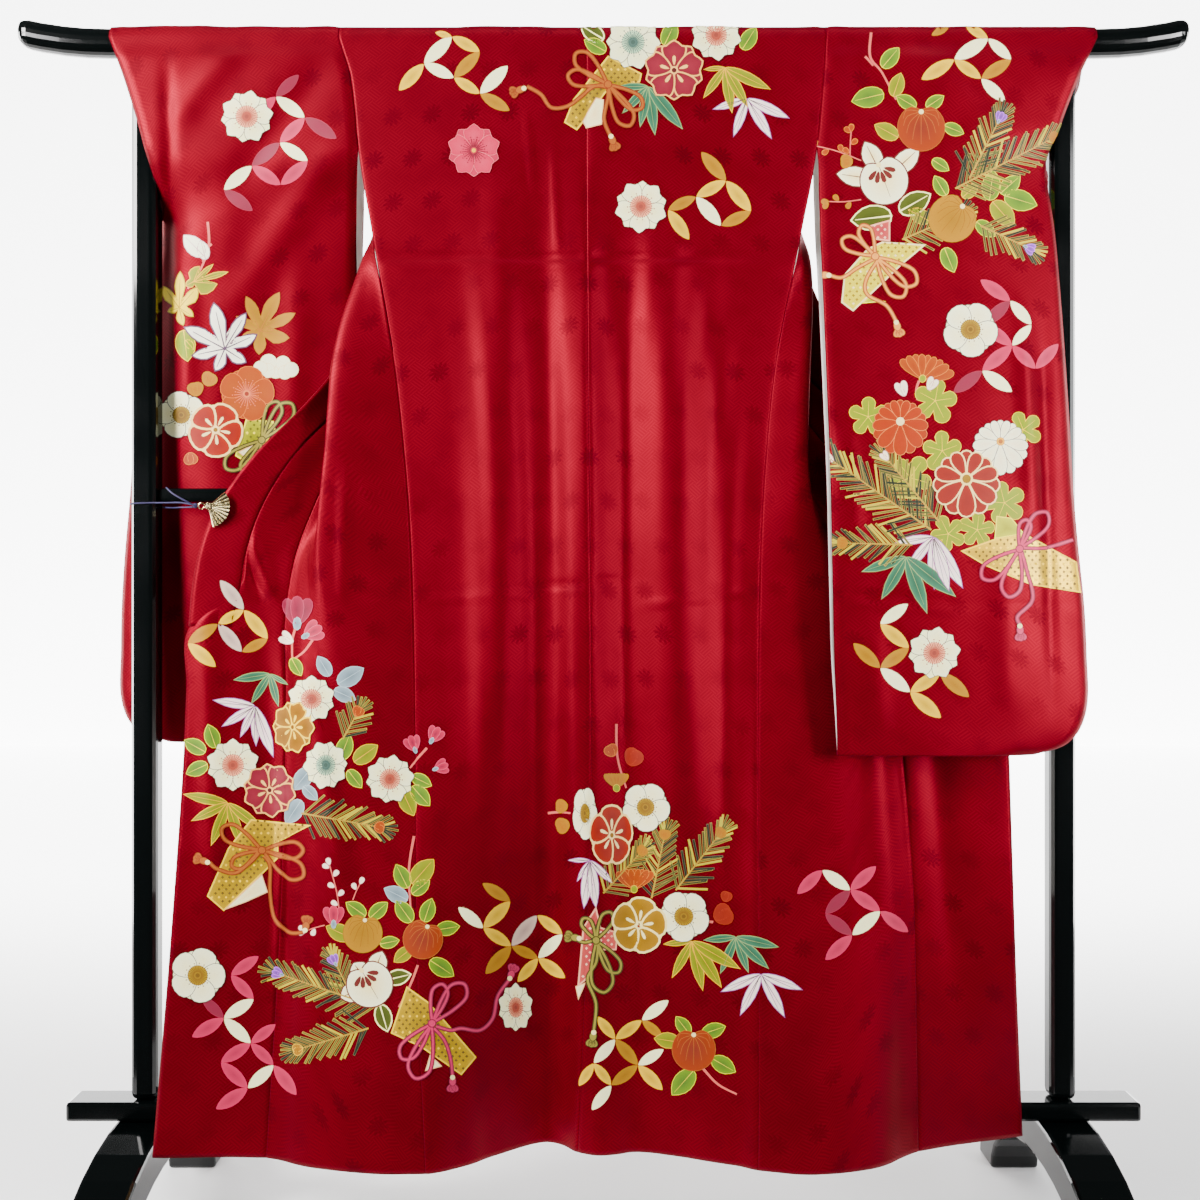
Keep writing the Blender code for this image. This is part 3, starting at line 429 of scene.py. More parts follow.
def back_row(side, z):
    """Points of one row of a back panel, from the centre seam to its outer edge."""
    start = BACK.at("centre", z)
    end = BACK.at(side, z)
    row = []
    for part in BACK_PARTS:
        x = start + (end - start) * part
        row.append(Vector((x, back_depth(x, z), z)))
    return row


def front_section(side, z):
    """The line of a front and its okumi at one height, and the lengths of its seams."""
    table = FRONTS[side]
    names = ["side", "fold", "turn", "edge"]
    if z <= OKUMI_TOP:
        names.insert(3, "seam")
    points = [(table.at(name + "_x", z), table.at(name + "_y", z)) for name in names]
    edge = BACK.at(side, z)
    if z >= ARMHOLE_END:
        points[0] = (edge, points[0][1])
    elif z < SIDE_SEAM_TOP:
        points[0] = (edge, back_depth(edge, z))
    elif z == SIDE_SEAM_TOP:
        outward = SIDE_SIGN[side] * WALL
        points[0] = (edge + outward, back_depth(edge, z) + 2 * WALL)
    section = Section(points)
    return section, section.marks[3], section.marks[-1]


def front_row(side, z):
    """Points of one row of a front, from its inner edge to the side seam."""
    section, seam, _ = front_section(side, z)
    parts = [0.0, FOLD_PART, TURN_PART, 1.0]
    lengths = [0.0, section.marks[1], section.marks[2], seam]
    slopes = slopes_of(parts, lengths)
    row = []
    for part in reversed(FRONT_PARTS):
        x, y = section.point(hermite(parts, lengths, slopes, part))
        row.append(Vector((x, y, z)))
    return row


def over_rail(xs, angle):
    """Points at some places along the rail, at an angle round it."""
    y = -WRAP_RADIUS * math.cos(angle)
    z = RAIL_AXIS_Z + WRAP_RADIUS * math.sin(angle)
    return [Vector((x, y, z)) for x in xs]


def wrap_row(side, angle):
    """Points of one row where a body panel lies over the rail."""
    start = BACK.at("centre", RAIL_AXIS_Z)
    end = BACK.at(side, RAIL_AXIS_Z)
    return over_rail([start + (end - start) * part for part in BACK_PARTS], angle)


def collar_row(side, z):
    """One row across the collar, from its seam to its outer edge."""
    table = FRONTS[side]
    seam = Vector((table.at("edge_x", z), table.at("edge_y", z), z))
    rim = Vector((table.at("rim_x", z), table.at("rim_y", z), z - RIM.at("drop", z)))
    across = (rim - seam).normalized()
    start = seam + across * (COLLAR_WALL / 2 * fade(*COLLAR_TURN, z))
    return [start.lerp(rim, k / COLLAR_COLUMNS) for k in range(COLLAR_COLUMNS + 1)]


def corner_inset(z):
    """How far the rounded bottom corner pulls the sleeve's outer edge in."""
    up = z - SLEEVE_BOTTOM
    if up >= SLEEVE_CORNER:
        return 0.0
    return SLEEVE_CORNER - math.sqrt(SLEEVE_CORNER ** 2 - (SLEEVE_CORNER - up) ** 2)


def sleeve_row(side, layer, z):
    """Points of one row of a sleeve's near or far layer, inner edge to outer."""
    sign = SIDE_SIGN[side]
    sewn = z <= CUFF_END[side]
    table = SLEEVES[side][0 if sewn else layer]
    names = ("inner", "mid", "ridge", "outer")
    points = [[table.at(name + "_x", z), table.at(name + "_y", z)] for name in names]
    if z >= ARMHOLE_END:
        edge = BACK.at(side, z)
        depths = (back_depth(edge, z), FRONTS[side].at("side_y", z) - LAYER_STEP)
        points[0] = [edge, depths[layer]]
    points[3][0] -= sign * corner_inset(z)
    points[2][0] -= sign * corner_inset(z) * 0.6
    section = Section([tuple(point) for point in points])
    puff = table.at("puff", z) if sewn and layer else 0.0
    row = []
    for part in SLEEVE_PARTS:
        x, y = section.point(section.marks[-1] * part)
        lift = layer * LAYER_STEP + puff * (1 - fade(PUFF_EDGE, 1.0, part))
        row.append(Vector((x, y + lift, z)))
    return row


def sleeve_wrap_row(side, angle):
    """Points of one row where a sleeve lies over the rail."""
    return over_rail([point.x for point in sleeve_row(side, 0, RAIL_AXIS_Z)], angle)


def cord_route(points, count):
    """Points along a smooth curve through the route's own points."""
    places = [Vector(point) for point in points]
    route = []
    for k in range(len(places) - 1):
        before = places[max(k - 1, 0)]
        start = places[k]
        end = places[k + 1]
        after = places[min(k + 2, len(places) - 1)]
        for step in range(count):
            t = step / count
            route.append(0.5 * (2 * start + (end - before) * t
                         + (2 * before - 5 * start + 4 * end - after) * t ** 2
                         + (3 * start - before - 3 * end + after) * t ** 3))
    route.append(places[-1])
    return route


# Laying the motifs: longest edge in the picture's pixels, height over the cloth and of one level
MOTIF_PITCH = 4.0
MOTIF_LIFT = 0.0003
LEVEL_STEP = 0.00015
TORN_EDGE = 0.022
SMALLEST_FACE = 1e-10
GRAZING = 0.04
SMOOTH_SHARE = 0.75
CUT_ROUNDS = 4
EDGE_ROUNDS = 7

# Sizes in the motifs: lines and gaps in pixels, widths as shares of a length
FINE_LINE = 0.5
BOLD_LINE = 1.3
VEIN_TIP = 0.4
PETAL_GAP = 0.4
PETAL_WIDTH = 0.18
LEAF_WIDTH = 0.31
BAMBOO_WIDTH = 0.12
STEM_WIDTH = 2.6
CORD_WIDTH = 4.2
HALF_MUM_PETALS = 9
CHECK_ROW = 4.0
CHECK_STEP = 7.0
CHECK_SIZE = 1.5
CHECK_EDGE = 4
PINE_SPREAD = 1.75
PINE_STEP = 4.8
PINE_BUD = 6.0
SPRAY_GAP = 9.0
SPRAY_BUD = 7.82
SPRAY_HALF = 2.76
SPRAY_LEAN = 0.9
STAR_STEPS = 8
FRUIT_SIDES = 28
CLEFT = 0.26
CLEFT_REACH = 0.3
BASTING_STEP = 14.0
BASTING_DASH = 8.0

# Loop of a bow, as shares of its length: along and across
BOW_LOOP = [(0.45, 0.15), (0.82, 0.19), (1.0, 0.0), (0.82, -0.19), (0.45, -0.15)]

# Levels: which kind lies over which, in steps of LEVEL_STEP
STEM_LEVEL = 0.6
LEAF_LEVEL = 1.0
CLOUD_LEVEL = 1.0
MUM_LEAF_LEVEL = 1.4
BAMBOO_LEVEL = 1.5
PINE_LEVEL = 1.5
SPRAY_LEVEL = 1.8
MAPLE_LEVEL = 2.2
FRUIT_LEVEL = 2.5
PAPER_LEVEL = 2.8
MANDARIN_LEVEL = 3.0
BUD_LEVEL = 4.0
CORD_LEVEL = 5.5
TASSEL_LEVEL = 6.2
KNOT_LEVEL = 7.4
VEIN_STEP = 0.9
RING_STEP = 1.6
PETAL_STEP = 0.3

# Lobes of a cloud, as shares of its length: off the middle, drop and size
CLOUD_LOBES = [
    (-0.34, 0.02, 0.16), (0.34, 0.06, 0.17), (-0.16, -0.1, 0.19), (0.16, -0.08, 0.17), (0.0, 0.06, 0.2),
    (0.2, 0.12, 0.16), (-0.18, 0.08, 0.17),
]

# Dyes, 0 to 255, as linear() takes them
BROWN_LINE = (96, 30, 26)
WHITE_DYE = (247, 247, 202)
CREAM = (247, 226, 150)
STALK_DYE = (212, 91, 81)
PINE_TWIG = (172, 137, 35)
PINE_DYES = [
    ((175, 142, 50), (96, 99, 34)), ((155, 129, 47), (46, 59, 34)), ((193, 153, 43), (179, 172, 16)),
    ((145, 121, 54), (73, 80, 35)), ((89, 89, 56), (21, 34, 25)),
]

# Line, rim and heart of each petal, leaf, fruit and bud
PETAL_DYES = {
    "white": ((247, 234, 166), (247, 247, 188), (247, 242, 179)),
    "pink": ((196, 36, 77), (188, 33, 76), (154, 30, 63)),
    "rose": ((153, 31, 61), (119, 32, 52), (124, 24, 52)),
    "gold": ((163, 105, 0), (165, 117, 0), (145, 100, 0)),
    "tan": ((222, 159, 6), (224, 181, 4), (182, 145, 4)),
    "grey": ((149, 127, 119), (201, 172, 152), (163, 137, 128)),
}
LEAF_DYES = {
    "leaf": ((208, 198, 13), (98, 136, 7), (66, 101, 34)),
    "lime": ((233, 195, 0), (129, 141, 0), (114, 139, 0)),
    "olive": ((247, 242, 155), (69, 80, 17), (57, 67, 14)),
    "teal": ((129, 153, 90), (48, 108, 79), (33, 82, 59)),
    "grey": ((160, 180, 186), (129, 150, 158), (96, 115, 123)),
    "white": ((207, 160, 160), (247, 247, 213), (247, 247, 211)),
    "lilac": ((158, 84, 148), (247, 236, 220), (247, 211, 219)),
    "plum": ((98, 60, 85), (247, 247, 223), (247, 238, 213)),
    "gold": ((162, 100, 22), (166, 118, 0), (136, 96, 0)),
    "straw": ((171, 139, 0), (238, 208, 4), (238, 199, 0)),
    "moss": ((222, 166, 1), (129, 137, 0), (103, 116, 6)),
}
VEIN_DYES = {"lilac": (81, 58, 69), "plum": (84, 63, 82)}
FRUIT_DYES = {
    "orange": ((161, 90, 29), (139, 48, 3), (115, 39, 24)),
    "yellow": ((133, 84, 0), (162, 112, 0), (142, 99, 0)),
    "white": (BROWN_LINE, WHITE_DYE, CREAM),
}
BUD_DYES = {
    "orange": ((211, 117, 27), (153, 64, 2), (145, 51, 2)),
    "red": ((151, 47, 18), (133, 31, 9), (121, 25, 11)),
    "yellow": ((163, 109, 0), (163, 109, 0), (159, 91, 0)),
    "white": ((216, 128, 131), (247, 239, 208), (247, 223, 184)),
    "pink": ((206, 67, 95), (191, 21, 68), (128, 28, 53)),
    "rose": ((168, 46, 79), (130, 16, 50), (103, 14, 40)),
    "lilac": ((194, 94, 239), (137, 69, 183), (99, 51, 141)),
    "gold": ((233, 191, 5), (165, 111, 0), (134, 87, 0)),
}

# Edge and middle of each cord; edge, rim, heart and woven diamonds of each paper
CORD_DYES = {
    "orange": ((128, 49, 16), (158, 84, 24)),
    "pink": ((116, 26, 53), (196, 37, 86)),
    "cream": ((155, 72, 33), (222, 144, 54)),
    "olive": ((59, 56, 25), (139, 129, 47)),
}
PAPER_DYES = {
    "gold": ((237, 196, 20), (193, 156, 3), (152, 123, 18), (96, 75, 30)),
    "pale": ((247, 222, 152), (244, 226, 4), (243, 224, 41), (153, 127, 15)),
    "pink": ((243, 162, 130), (209, 82, 75), (188, 54, 68), (247, 189, 156)),
    "white": ((242, 176, 121), (247, 243, 181), (247, 221, 153), (227, 167, 118)),
    "green": ((247, 230, 24), (181, 184, 0), (147, 150, 1), (97, 99, 29)),
}

# Round flowers: numbers and shares of their petals and stamens, and their dyes
BLOOM_COLUMNS = (
    "petals", "rings", "width", "belly", "frill", "edge", "line", "rim", "heart", "rear", "behind", "rise",
    "disc", "hub", "threads", "thread", "reach", "drops", "ring", "core",
)
BLOOM_TABLE = {
    "white_cherry": (5, 2, 0.62, 0.4, 0.13, 0.5, (89, 83, 69), (247, 247, 195), (247, 241, 171), (247, 247,
        185), 0.97, 0.0, (236, 156, 116), 0.4, 30, (156, 64, 46), 0.44, False, (157, 69, 50), (134, 56,
        44)),
    "teal_cherry": (5, 2, 0.62, 0.4, 0.13, 0.5, (90, 84, 72), (247, 247, 195), (247, 246, 180), (247, 247,
        185), 0.97, 0.0, (170, 203, 161), 0.4, 30, (61, 91, 81), 0.44, False, (71, 99, 88), (57, 82, 73)),
    "pink_cherry": (5, 2, 0.62, 0.4, 0.13, 0.5, (216, 95, 103), (190, 23, 66), (198, 49, 79), (176, 27, 63),
        0.97, 0.0, None, 0.0, 26, (119, 26, 44), 0.44, False, (166, 33, 53), (226, 162, 31)),
    "rose_cherry": (5, 2, 0.66, 0.42, 0.12, 1.6, (236, 170, 83), (117, 22, 40), (132, 30, 47), (112, 23,
        39), 0.97, 0.0, None, 0.0, 5, (243, 185, 97), 0.48, True, (243, 185, 97), (77, 25, 27)),
    "gold_cherry": (5, 2, 0.66, 0.42, 0.12, 1.6, (239, 198, 41), (144, 94, 0), (122, 79, 0), (135, 88, 0),
        0.97, 0.0, None, 0.0, 5, (241, 201, 52), 0.48, True, (241, 201, 52), (119, 71, 4)),
    "white_plum": (5, 2, 0.76, 0.3, 0.0, 0.6, (83, 79, 69), (247, 247, 202), (247, 241, 179), (247, 245,
        188), 0.9, 0.0, (149, 120, 14), 0.36, 30, (121, 86, 18), 0.38, False, (140, 105, 13), (105, 76,
        23)),
    "orange_plum": (5, 2, 0.76, 0.3, 0.0, 0.6, (207, 107, 31), (153, 62, 6), (155, 69, 11), (153, 58, 6),
        0.9, 0.0, None, 0.0, 24, (209, 101, 67), 0.46, False, (218, 123, 73), (136, 45, 30)),
    "red_plum": (5, 2, 0.8, 0.4, 0.0, 2.2, (247, 207, 124), (144, 26, 0), (127, 19, 7), (153, 65, 10), 0.9,
        0.0, None, 0.0, 5, (247, 217, 146), 0.54, True, (247, 217, 146), (134, 92, 13)),
    "gold_plum": (5, 2, 0.8, 0.4, 0.0, 2.2, (247, 225, 136), (149, 107, 0), (132, 93, 0), (156, 91, 0), 0.9,
        0.0, None, 0.0, 5, (247, 230, 150), 0.54, True, (247, 230, 150), (129, 48, 21)),
    "orange_mum": (18, 1, 1.1, 0.5, 0.0, 0.5, (216, 122, 53), (150, 46, 0), (149, 40, 0), (150, 46, 0), 1.0,
        0.22, (247, 222, 152), 0.15, 0, None, 0.0, False, (247, 222, 152), (247, 222, 152)),
    "white_mum": (18, 1, 1.1, 0.5, 0.0, 0.5, (98, 81, 74), (247, 246, 206), (247, 235, 188), (247, 246,
        206), 1.0, 0.22, (220, 144, 8), 0.15, 0, None, 0.0, False, (226, 162, 31), (160, 90, 24)),
    "red_mum": (14, 1, 1.04, 0.5, 0.0, 1.5, (247, 212, 133), (133, 26, 10), (122, 22, 11), (133, 26, 10),
        1.0, 0.14, (247, 220, 127), 0.19, 0, None, 0.0, False, (137, 101, 0), (137, 101, 0)),
}
BLOOMS = {kind: dict(zip(BLOOM_COLUMNS, row)) for kind, row in BLOOM_TABLE.items()}

# Places of the motifs in the picture's pixels, for each part of the cloth
PETAL_COLUMNS = ("x0", "y0", "x1", "y1", "dye")
PETALS = {
    "body": [
        (399, 91, 424, 64, "tan"), (424, 64, 452, 37, "white"), (452, 37, 480, 52, "tan"),
        (480, 52, 454, 78, "gold"), (424, 64, 454, 78, "white"), (454, 78, 480, 94, "tan"),
        (480, 94, 508, 66, "white"), (480, 94, 510, 111, "gold"), (452, 37, 435, 33, "tan"),
        (668, 210, 696, 197, "gold"), (696, 197, 726, 181, "tan"), (701, 152, 726, 181, "gold"),
        (726, 181, 751, 212, "tan"), (696, 197, 721, 226, "white"), (721, 226, 751, 212, "gold"),
        (668, 210, 689, 240, "tan"), (220, 580, 244, 610, "grey"), (244, 610, 218, 624, "tan"),
        (244, 610, 268, 639, "tan"), (218, 624, 242, 652, "grey"), (242, 652, 268, 639, "gold"),
        (218, 624, 188, 643, "gold"), (188, 643, 216, 667, "tan"), (259, 956, 231, 975, "pink"),
        (231, 975, 254, 999, "pink"), (254, 999, 224, 1018, "white"), (202, 997, 224, 1018, "rose"),
        (224, 1018, 192, 1037, "pink"), (224, 1018, 251, 1043, "white"), (251, 1043, 276, 1024, "pink"),
        (251, 1043, 221, 1062, "pink"), (251, 1043, 274, 1065, "pink"), (221, 1062, 248, 1088, "pink"),
        (248, 1088, 274, 1065, "white"), (248, 1088, 216, 1109, "pink"), (274, 1065, 297, 1095, "pink"),
        (482, 883, 510, 901, "gold"), (510, 901, 483, 928, "tan"), (458, 907, 483, 928, "white"),
        (483, 928, 511, 946, "tan"), (511, 946, 537, 915, "grey"), (511, 946, 485, 974, "gold"),
        (511, 946, 538, 958, "gold"), (537, 915, 563, 934, "tan"), (563, 934, 538, 958, "white"),
        (538, 958, 517, 982, "tan"), (538, 958, 566, 978, "tan"), (597, 1016, 615, 1039, "tan"),
        (615, 1039, 642, 1020, "tan"), (642, 1020, 669, 1000, "white"), (642, 1020, 663, 1037, "gold"),
        (615, 1039, 594, 1063, "white"), (615, 1039, 638, 1065, "gold"), (594, 1063, 579, 1086, "tan"),
        (594, 1063, 611, 1085, "tan"), (611, 1085, 638, 1065, "gold"), (638, 1065, 664, 1049, "white"),
        (638, 1065, 663, 1090, "tan"), (611, 1085, 592, 1110, "white"), (797, 894, 822, 870, "pink"),
        (822, 870, 850, 890, "white"), (850, 890, 876, 866, "pink"), (850, 890, 825, 914, "rose"),
        (850, 890, 880, 911, "pink"), (825, 914, 852, 935, "rose"), (852, 935, 880, 911, "white"),
        (880, 911, 908, 932, "pink"), (852, 935, 825, 960, "pink"),
    ],
    "sleeve_right": [
        (931, 36, 950, 26, "gold"), (965, 26, 988, 39, "tan"), (988, 39, 954, 60, "white"),
        (988, 39, 1011, 60, "white"), (921, 80, 954, 60, "tan"), (954, 60, 981, 79, "tan"),
        (981, 79, 1011, 60, "gold"), (981, 79, 1005, 102, "white"), (980, 280, 1010, 301, "pink"),
        (1010, 301, 984, 325, "rose"), (1010, 301, 1031, 325, "white"), (1031, 325, 1012, 346, "white"),
        (984, 325, 1012, 346, "pink"), (1012, 346, 1035, 369, "pink"), (1035, 369, 1058, 344, "pink"),
        (1012, 346, 982, 371, "pink"), (982, 371, 953, 393, "rose"), (982, 371, 1012, 392, "white"),
        (908, 604, 880, 624, "white"), (880, 624, 909, 648, "tan"), (853, 643, 880, 668, "gold"),
        (880, 668, 909, 648, "gold"), (880, 668, 910, 692, "white"), (910, 692, 940, 673, "tan"),
        (910, 692, 941, 718, "tan"), (940, 673, 969, 697, "gold"),
    ],
    "sleeve_left": [
        (276, 97, 299, 75, "rose"), (276, 97, 305, 118, "white"), (305, 118, 337, 139, "rose"),
        (305, 118, 280, 143, "pink"), (280, 143, 252, 166, "rose"), (280, 143, 308, 161, "white"),
        (308, 161, 281, 185, "pink"), (252, 166, 281, 185, "pink"), (252, 166, 224, 190, "white"),
        (224, 190, 253, 211, "rose"), (276, 97, 250, 121, "pink"),
    ],
}
FLOWER_COLUMNS = ("kind", "x", "y", "radius", "turn", "level", "squeeze")
FLOWERS = {
    "body": [
        ("pink_cherry", 474, 151, 27, -90, 3.0), ("teal_cherry", 633, 43, 28, -70, 4.0),
        ("rose_cherry", 674, 71, 31, -90, 5.0), ("white_cherry", 716, 36, 26, -60, 4.2),
        ("white_cherry", 641, 207, 27, -50, 3.0), ("white_cherry", 312, 699, 24, -90, 4.0),
        ("gold_cherry", 294, 727, 27, -70, 6.0, 0.8), ("teal_cherry", 326, 765, 25, -40, 5.0, 0.9),
        ("white_cherry", 233, 765, 27, -90, 4.0), ("rose_cherry", 270, 790, 28, -60, 7.0),
        ("white_cherry", 390, 779, 25, -80, 4.0), ("white_cherry", 515, 1007, 25, -90, 3.0, 0.72),
        ("white_plum", 198, 975, 28, -70, 3.0), ("white_plum", 646, 807, 25, -60, 4.0),
        ("white_plum", 585, 813, 27, -60, 3.0, 0.45), ("red_plum", 611, 835, 31, -90, 5.6, 0.72),
        ("gold_plum", 639, 925, 29, -80, 5.6), ("white_plum", 684, 916, 26, -50, 4.0),
    ],
    "sleeve_left": [
        ("white_cherry", 247, 117, 27, -80, 3.0), ("orange_plum", 247, 394, 28, -80, 4.0),
        ("red_plum", 216, 430, 28, -60, 6.4), ("white_plum", 182, 415, 24, -30, 3.0),
    ],
    "sleeve_right": [
        ("white_plum", 970, 330, 28, -60, 3.0), ("orange_mum", 900, 428, 28, -90, 4.0),
        ("white_mum", 1000, 448, 28, -90, 4.0), ("red_mum", 966, 484, 34, -90, 6.4),
        ("white_cherry", 934, 653, 27, -80, 3.0),
    ],
}
LEAF_COLUMNS = ("x0", "y0", "x1", "y1", "dye")
LEAVES = {
    "body": [
        (606, 52, 584, 40, "leaf"), (604, 40, 580, 26, "olive"), (664, 46, 676, 22, "leaf"),
        (742, 50, 756, 28, "leaf"), (292, 658, 302, 676, "leaf"), (330, 676, 318, 656, "grey"),
        (338, 684, 364, 668, "grey"), (334, 690, 356, 700, "grey"), (312, 768, 294, 790, "grey"),
        (304, 786, 318, 800, "grey"), (302, 800, 286, 824, "grey"), (206, 752, 184, 740, "leaf"),
        (216, 748, 208, 724, "leaf"), (208, 764, 186, 774, "leaf"), (340, 760, 350, 734, "leaf"),
        (354, 762, 378, 745, "moss"), (348, 770, 362, 788, "leaf"), (412, 776, 432, 786, "leaf"),
        (412, 786, 430, 806, "leaf"), (402, 790, 414, 816, "moss"), (366, 916, 346, 902, "leaf"),
        (370, 918, 388, 902, "leaf"), (352, 938, 326, 926, "moss"), (380, 944, 400, 940, "leaf"),
        (424, 922, 432, 898, "leaf"), (436, 930, 460, 926, "leaf"), (412, 922, 396, 900, "leaf"),
        (412, 948, 394, 962, "moss"), (430, 960, 454, 976, "leaf"), (408, 888, 396, 864, "leaf"),
        (412, 884, 434, 859, "moss"), (412, 894, 430, 880, "leaf"), (408, 900, 384, 888, "grey"),
        (386, 980, 412, 974, "olive"), (380, 1004, 388, 1032, "olive"), (690, 1034, 676, 1016, "leaf"),
        (702, 1034, 726, 1026, "leaf"), (680, 1042, 654, 1038, "moss"), (712, 1058, 736, 1072, "leaf"),
        (694, 1070, 672, 1095, "leaf"),
    ],
    "sleeve_left": [
        (204, 256, 184, 235, "white"), (206, 260, 201, 240, "white"), (184, 330, 188, 362, "lime"),
        (186, 340, 194, 350, "lime"),
    ],
    "sleeve_right": [
        (882, 68, 899, 48, "leaf"), (884, 94, 851, 102, "leaf"), (893, 97, 901, 73, "moss"),
        (916, 108, 896, 96, "leaf"), (926, 108, 944, 96, "leaf"), (944, 126, 964, 134, "leaf"),
        (898, 138, 874, 125, "moss"), (932, 160, 949, 171, "leaf"), (946, 196, 934, 176, "leaf"),
        (962, 198, 978, 184, "moss"), (976, 222, 995, 237, "leaf"), (944, 248, 954, 273, "leaf"),
        (930, 222, 908, 210, "moss"), (892, 216, 850, 221, "olive"), (899, 212, 931, 194, "olive"),
        (989, 201, 993, 170, "leaf"), (1004, 196, 1037, 206, "leaf"), (992, 202, 1014, 227, "moss"),
        (1000, 194, 1020, 176, "leaf"),
    ],
}
BAMBOO_COLUMNS = ("x", "y", "dye", "tips")
BAMBOOS = {
    "body": [
        (648, 87, "teal", [(617, 87), (622, 114), (655, 136), (683, 130), (640, 128)]),
        (725, 68, "moss", [(703, 70), (703, 99), (732, 114), (748, 108), (771, 90)]),
        (747, 99, "lilac", [(712, 110), (733, 138), (772, 140), (790, 119)]),
        (270, 674, "teal", [(233, 680), (251, 704), (279, 707), (289, 685)]),
        (255, 706, "lilac", [(212, 700), (221, 727), (256, 747), (274, 758), (240, 738)]),
        (228, 803, "moss", [(183, 794), (191, 821), (211, 846), (243, 848), (264, 831)]),
        (590, 860, "lilac", [(568, 860), (577, 882), (584, 909), (596, 909), (613, 884)]),
        (692, 941, "moss", [(663, 944), (672, 978), (703, 991), (722, 988), (741, 969)]),
        (736, 937, "teal", [(703, 940), (720, 974), (749, 973), (769, 969), (779, 947)]),
        (761, 974, "lilac", [(720, 992), (740, 1016), (785, 1018), (803, 990)]),
    ],
    "sleeve_right": [
        (933, 537, "lilac", [(894, 543), (906, 571), (934, 590), (963, 589), (949, 592)]),
        (906, 557, "teal", [(861, 572), (881, 600), (927, 614), (956, 597)]),
    ],
}
PINE_COLUMNS = ("x0", "y0", "x1", "y1", "needle", "bud")
PINES = {
    "body": [
        (343, 739, 358, 712, 15, "orange"), (302, 813, 379, 827, 17, "orange"),
        (377, 1007, 278, 973, 17, "lilac"), (369, 1028, 299, 1049, 17, "gold"),
        (353, 997, 334, 960, 15, "lilac"), (652, 898, 665, 835, 17, "yellow"),
        (676, 890, 720, 833, 17, "yellow"), (603, 893, 642, 851, 15, "yellow"),
    ],
    "sleeve_right": [
        (969, 179, 1000, 118, 17, "lilac"), (955, 189, 1053, 138, 19, "yellow"),
        (980, 226, 1029, 249, 16, "lilac"), (902, 240, 960, 215, 16, None),
        (931, 530, 830, 459, 20, "white"), (912, 545, 843, 543, 17, "yellow"),
        (939, 522, 885, 457, 16, "white"),
    ],
}
SPRAY_COLUMNS = ("path", "dye")
SPRAYS = {
    "body": [
        ([(340, 916), (337, 892), (330, 865)], "white"), ([(353, 900), (356, 892), (360, 884)], "white"),
        ([(325, 925), (314, 928), (306, 931)], "white"),
    ],
    "sleeve_right": [
        ([(861, 161), (838, 152), (815, 146)], "orange"), ([(850, 165), (850, 148), (851, 132)], "orange"),
        ([(861, 200), (845, 202), (829, 202)], "yellow"),
    ],
}
MAPLE_COLUMNS = ("x", "y", "dye", "tips", "level")
MAPLES = {
    "sleeve_left": [
        (180, 308, "straw", [(181, 271), (198, 287), (194, 317), (184, 326), (168, 312), (164, 286)]),
        (194, 282, "moss", [(229, 272), (214, 264), (218, 284), (200, 266), (186, 286)]),
        (260, 331, "gold", [(246, 296), (280, 292), (296, 313), (290, 338), (259, 355), (240, 340), (236,
            316)]),
        (225, 349, "plum", [(214, 302), (247, 312), (258, 334), (247, 363), (215, 372), (191, 356), (184,
            327)], 5.0),
    ],
}
LINE_COLUMNS = ("x0", "y0", "x1", "y1")
BASTING = {"body": [(1009, 757, 1033, 1126)]}
MUM_LEAF_COLUMNS = ("x", "y", "radius", "turn")
MUM_LEAVES = {
    "sleeve_right": [
        (935, 401, 22, -80), (868, 417, 20, 200), (942, 451, 20, -20), (910, 478, 22, 160),
        (1023, 430, 19, -40), (1004, 503, 22, 40), (948, 534, 18, 100), (977, 530, 18, 60),
    ],
}
HALF_MUM_COLUMNS = ("x", "y", "dye", "tips")
HALF_MUMS = {
    "body": [
        (634, 890, "orange", [(616, 872), (654, 872)]), (616, 789, "yellow", [(604, 774), (628, 774)]),
    ],
    "sleeve_right": [(922, 380, "orange", [(900, 360), (954, 373)])],
}
CLOUD_COLUMNS = ("x", "y", "length")
CLOUDS = {"sleeve_left": [(276, 367, 45)]}
MANDARIN_COLUMNS = ("x", "y", "radius", "turn", "dye")
MANDARINS = {
    "body": [(363, 933, 20, -80, "yellow"), (423, 939, 20, -70, "orange"), (694, 1049, 22, -90, "orange")],
    "sleeve_right": [(921, 128, 24, -90, "orange"), (952, 219, 24, -50, "yellow")],
}
FRUIT_COLUMNS = ("x", "y", "radius", "turn", "tips")
FRUITS = {
    "body": [(370, 984, 24, -120, [(353, 962), (383, 950), (340, 998)])],
    "sleeve_right": [(884, 181, 25, -110, [(864, 141), (920, 148), (835, 174)])],
}
BUD_COLUMNS = ("x", "y", "radius", "turn", "dye")
BUDS = {
    "body": [
        (298, 612, 16, -90, "rose"), (313, 632, 11, -30, "pink"), (288, 639, 9, -150, "white"),
        (413, 744, 9, -110, "pink"), (435, 735, 9, -60, "pink"), (441, 767, 8, -20, "pink"),
        (334, 916, 11, -90, "pink"), (611, 751, 7, -120, "orange"), (633, 758, 10, -60, "red"),
        (563, 806, 7, 180, "yellow"), (564, 825, 8, 160, "yellow"), (726, 897, 6, -70, "red"),
        (722, 915, 11, -30, "red"),
    ],
    "sleeve_left": [
        (196, 390, 8, -100, "yellow"), (209, 380, 8, -60, "yellow"), (191, 458, 7, 80, "orange"),
    ],
    "sleeve_right": [
        (902, 390, 9, -110, "white"), (931, 385, 8, -60, "white"), (847, 162, 7, 180, "yellow"),
    ],
}
STEM_COLUMNS = ("path",)
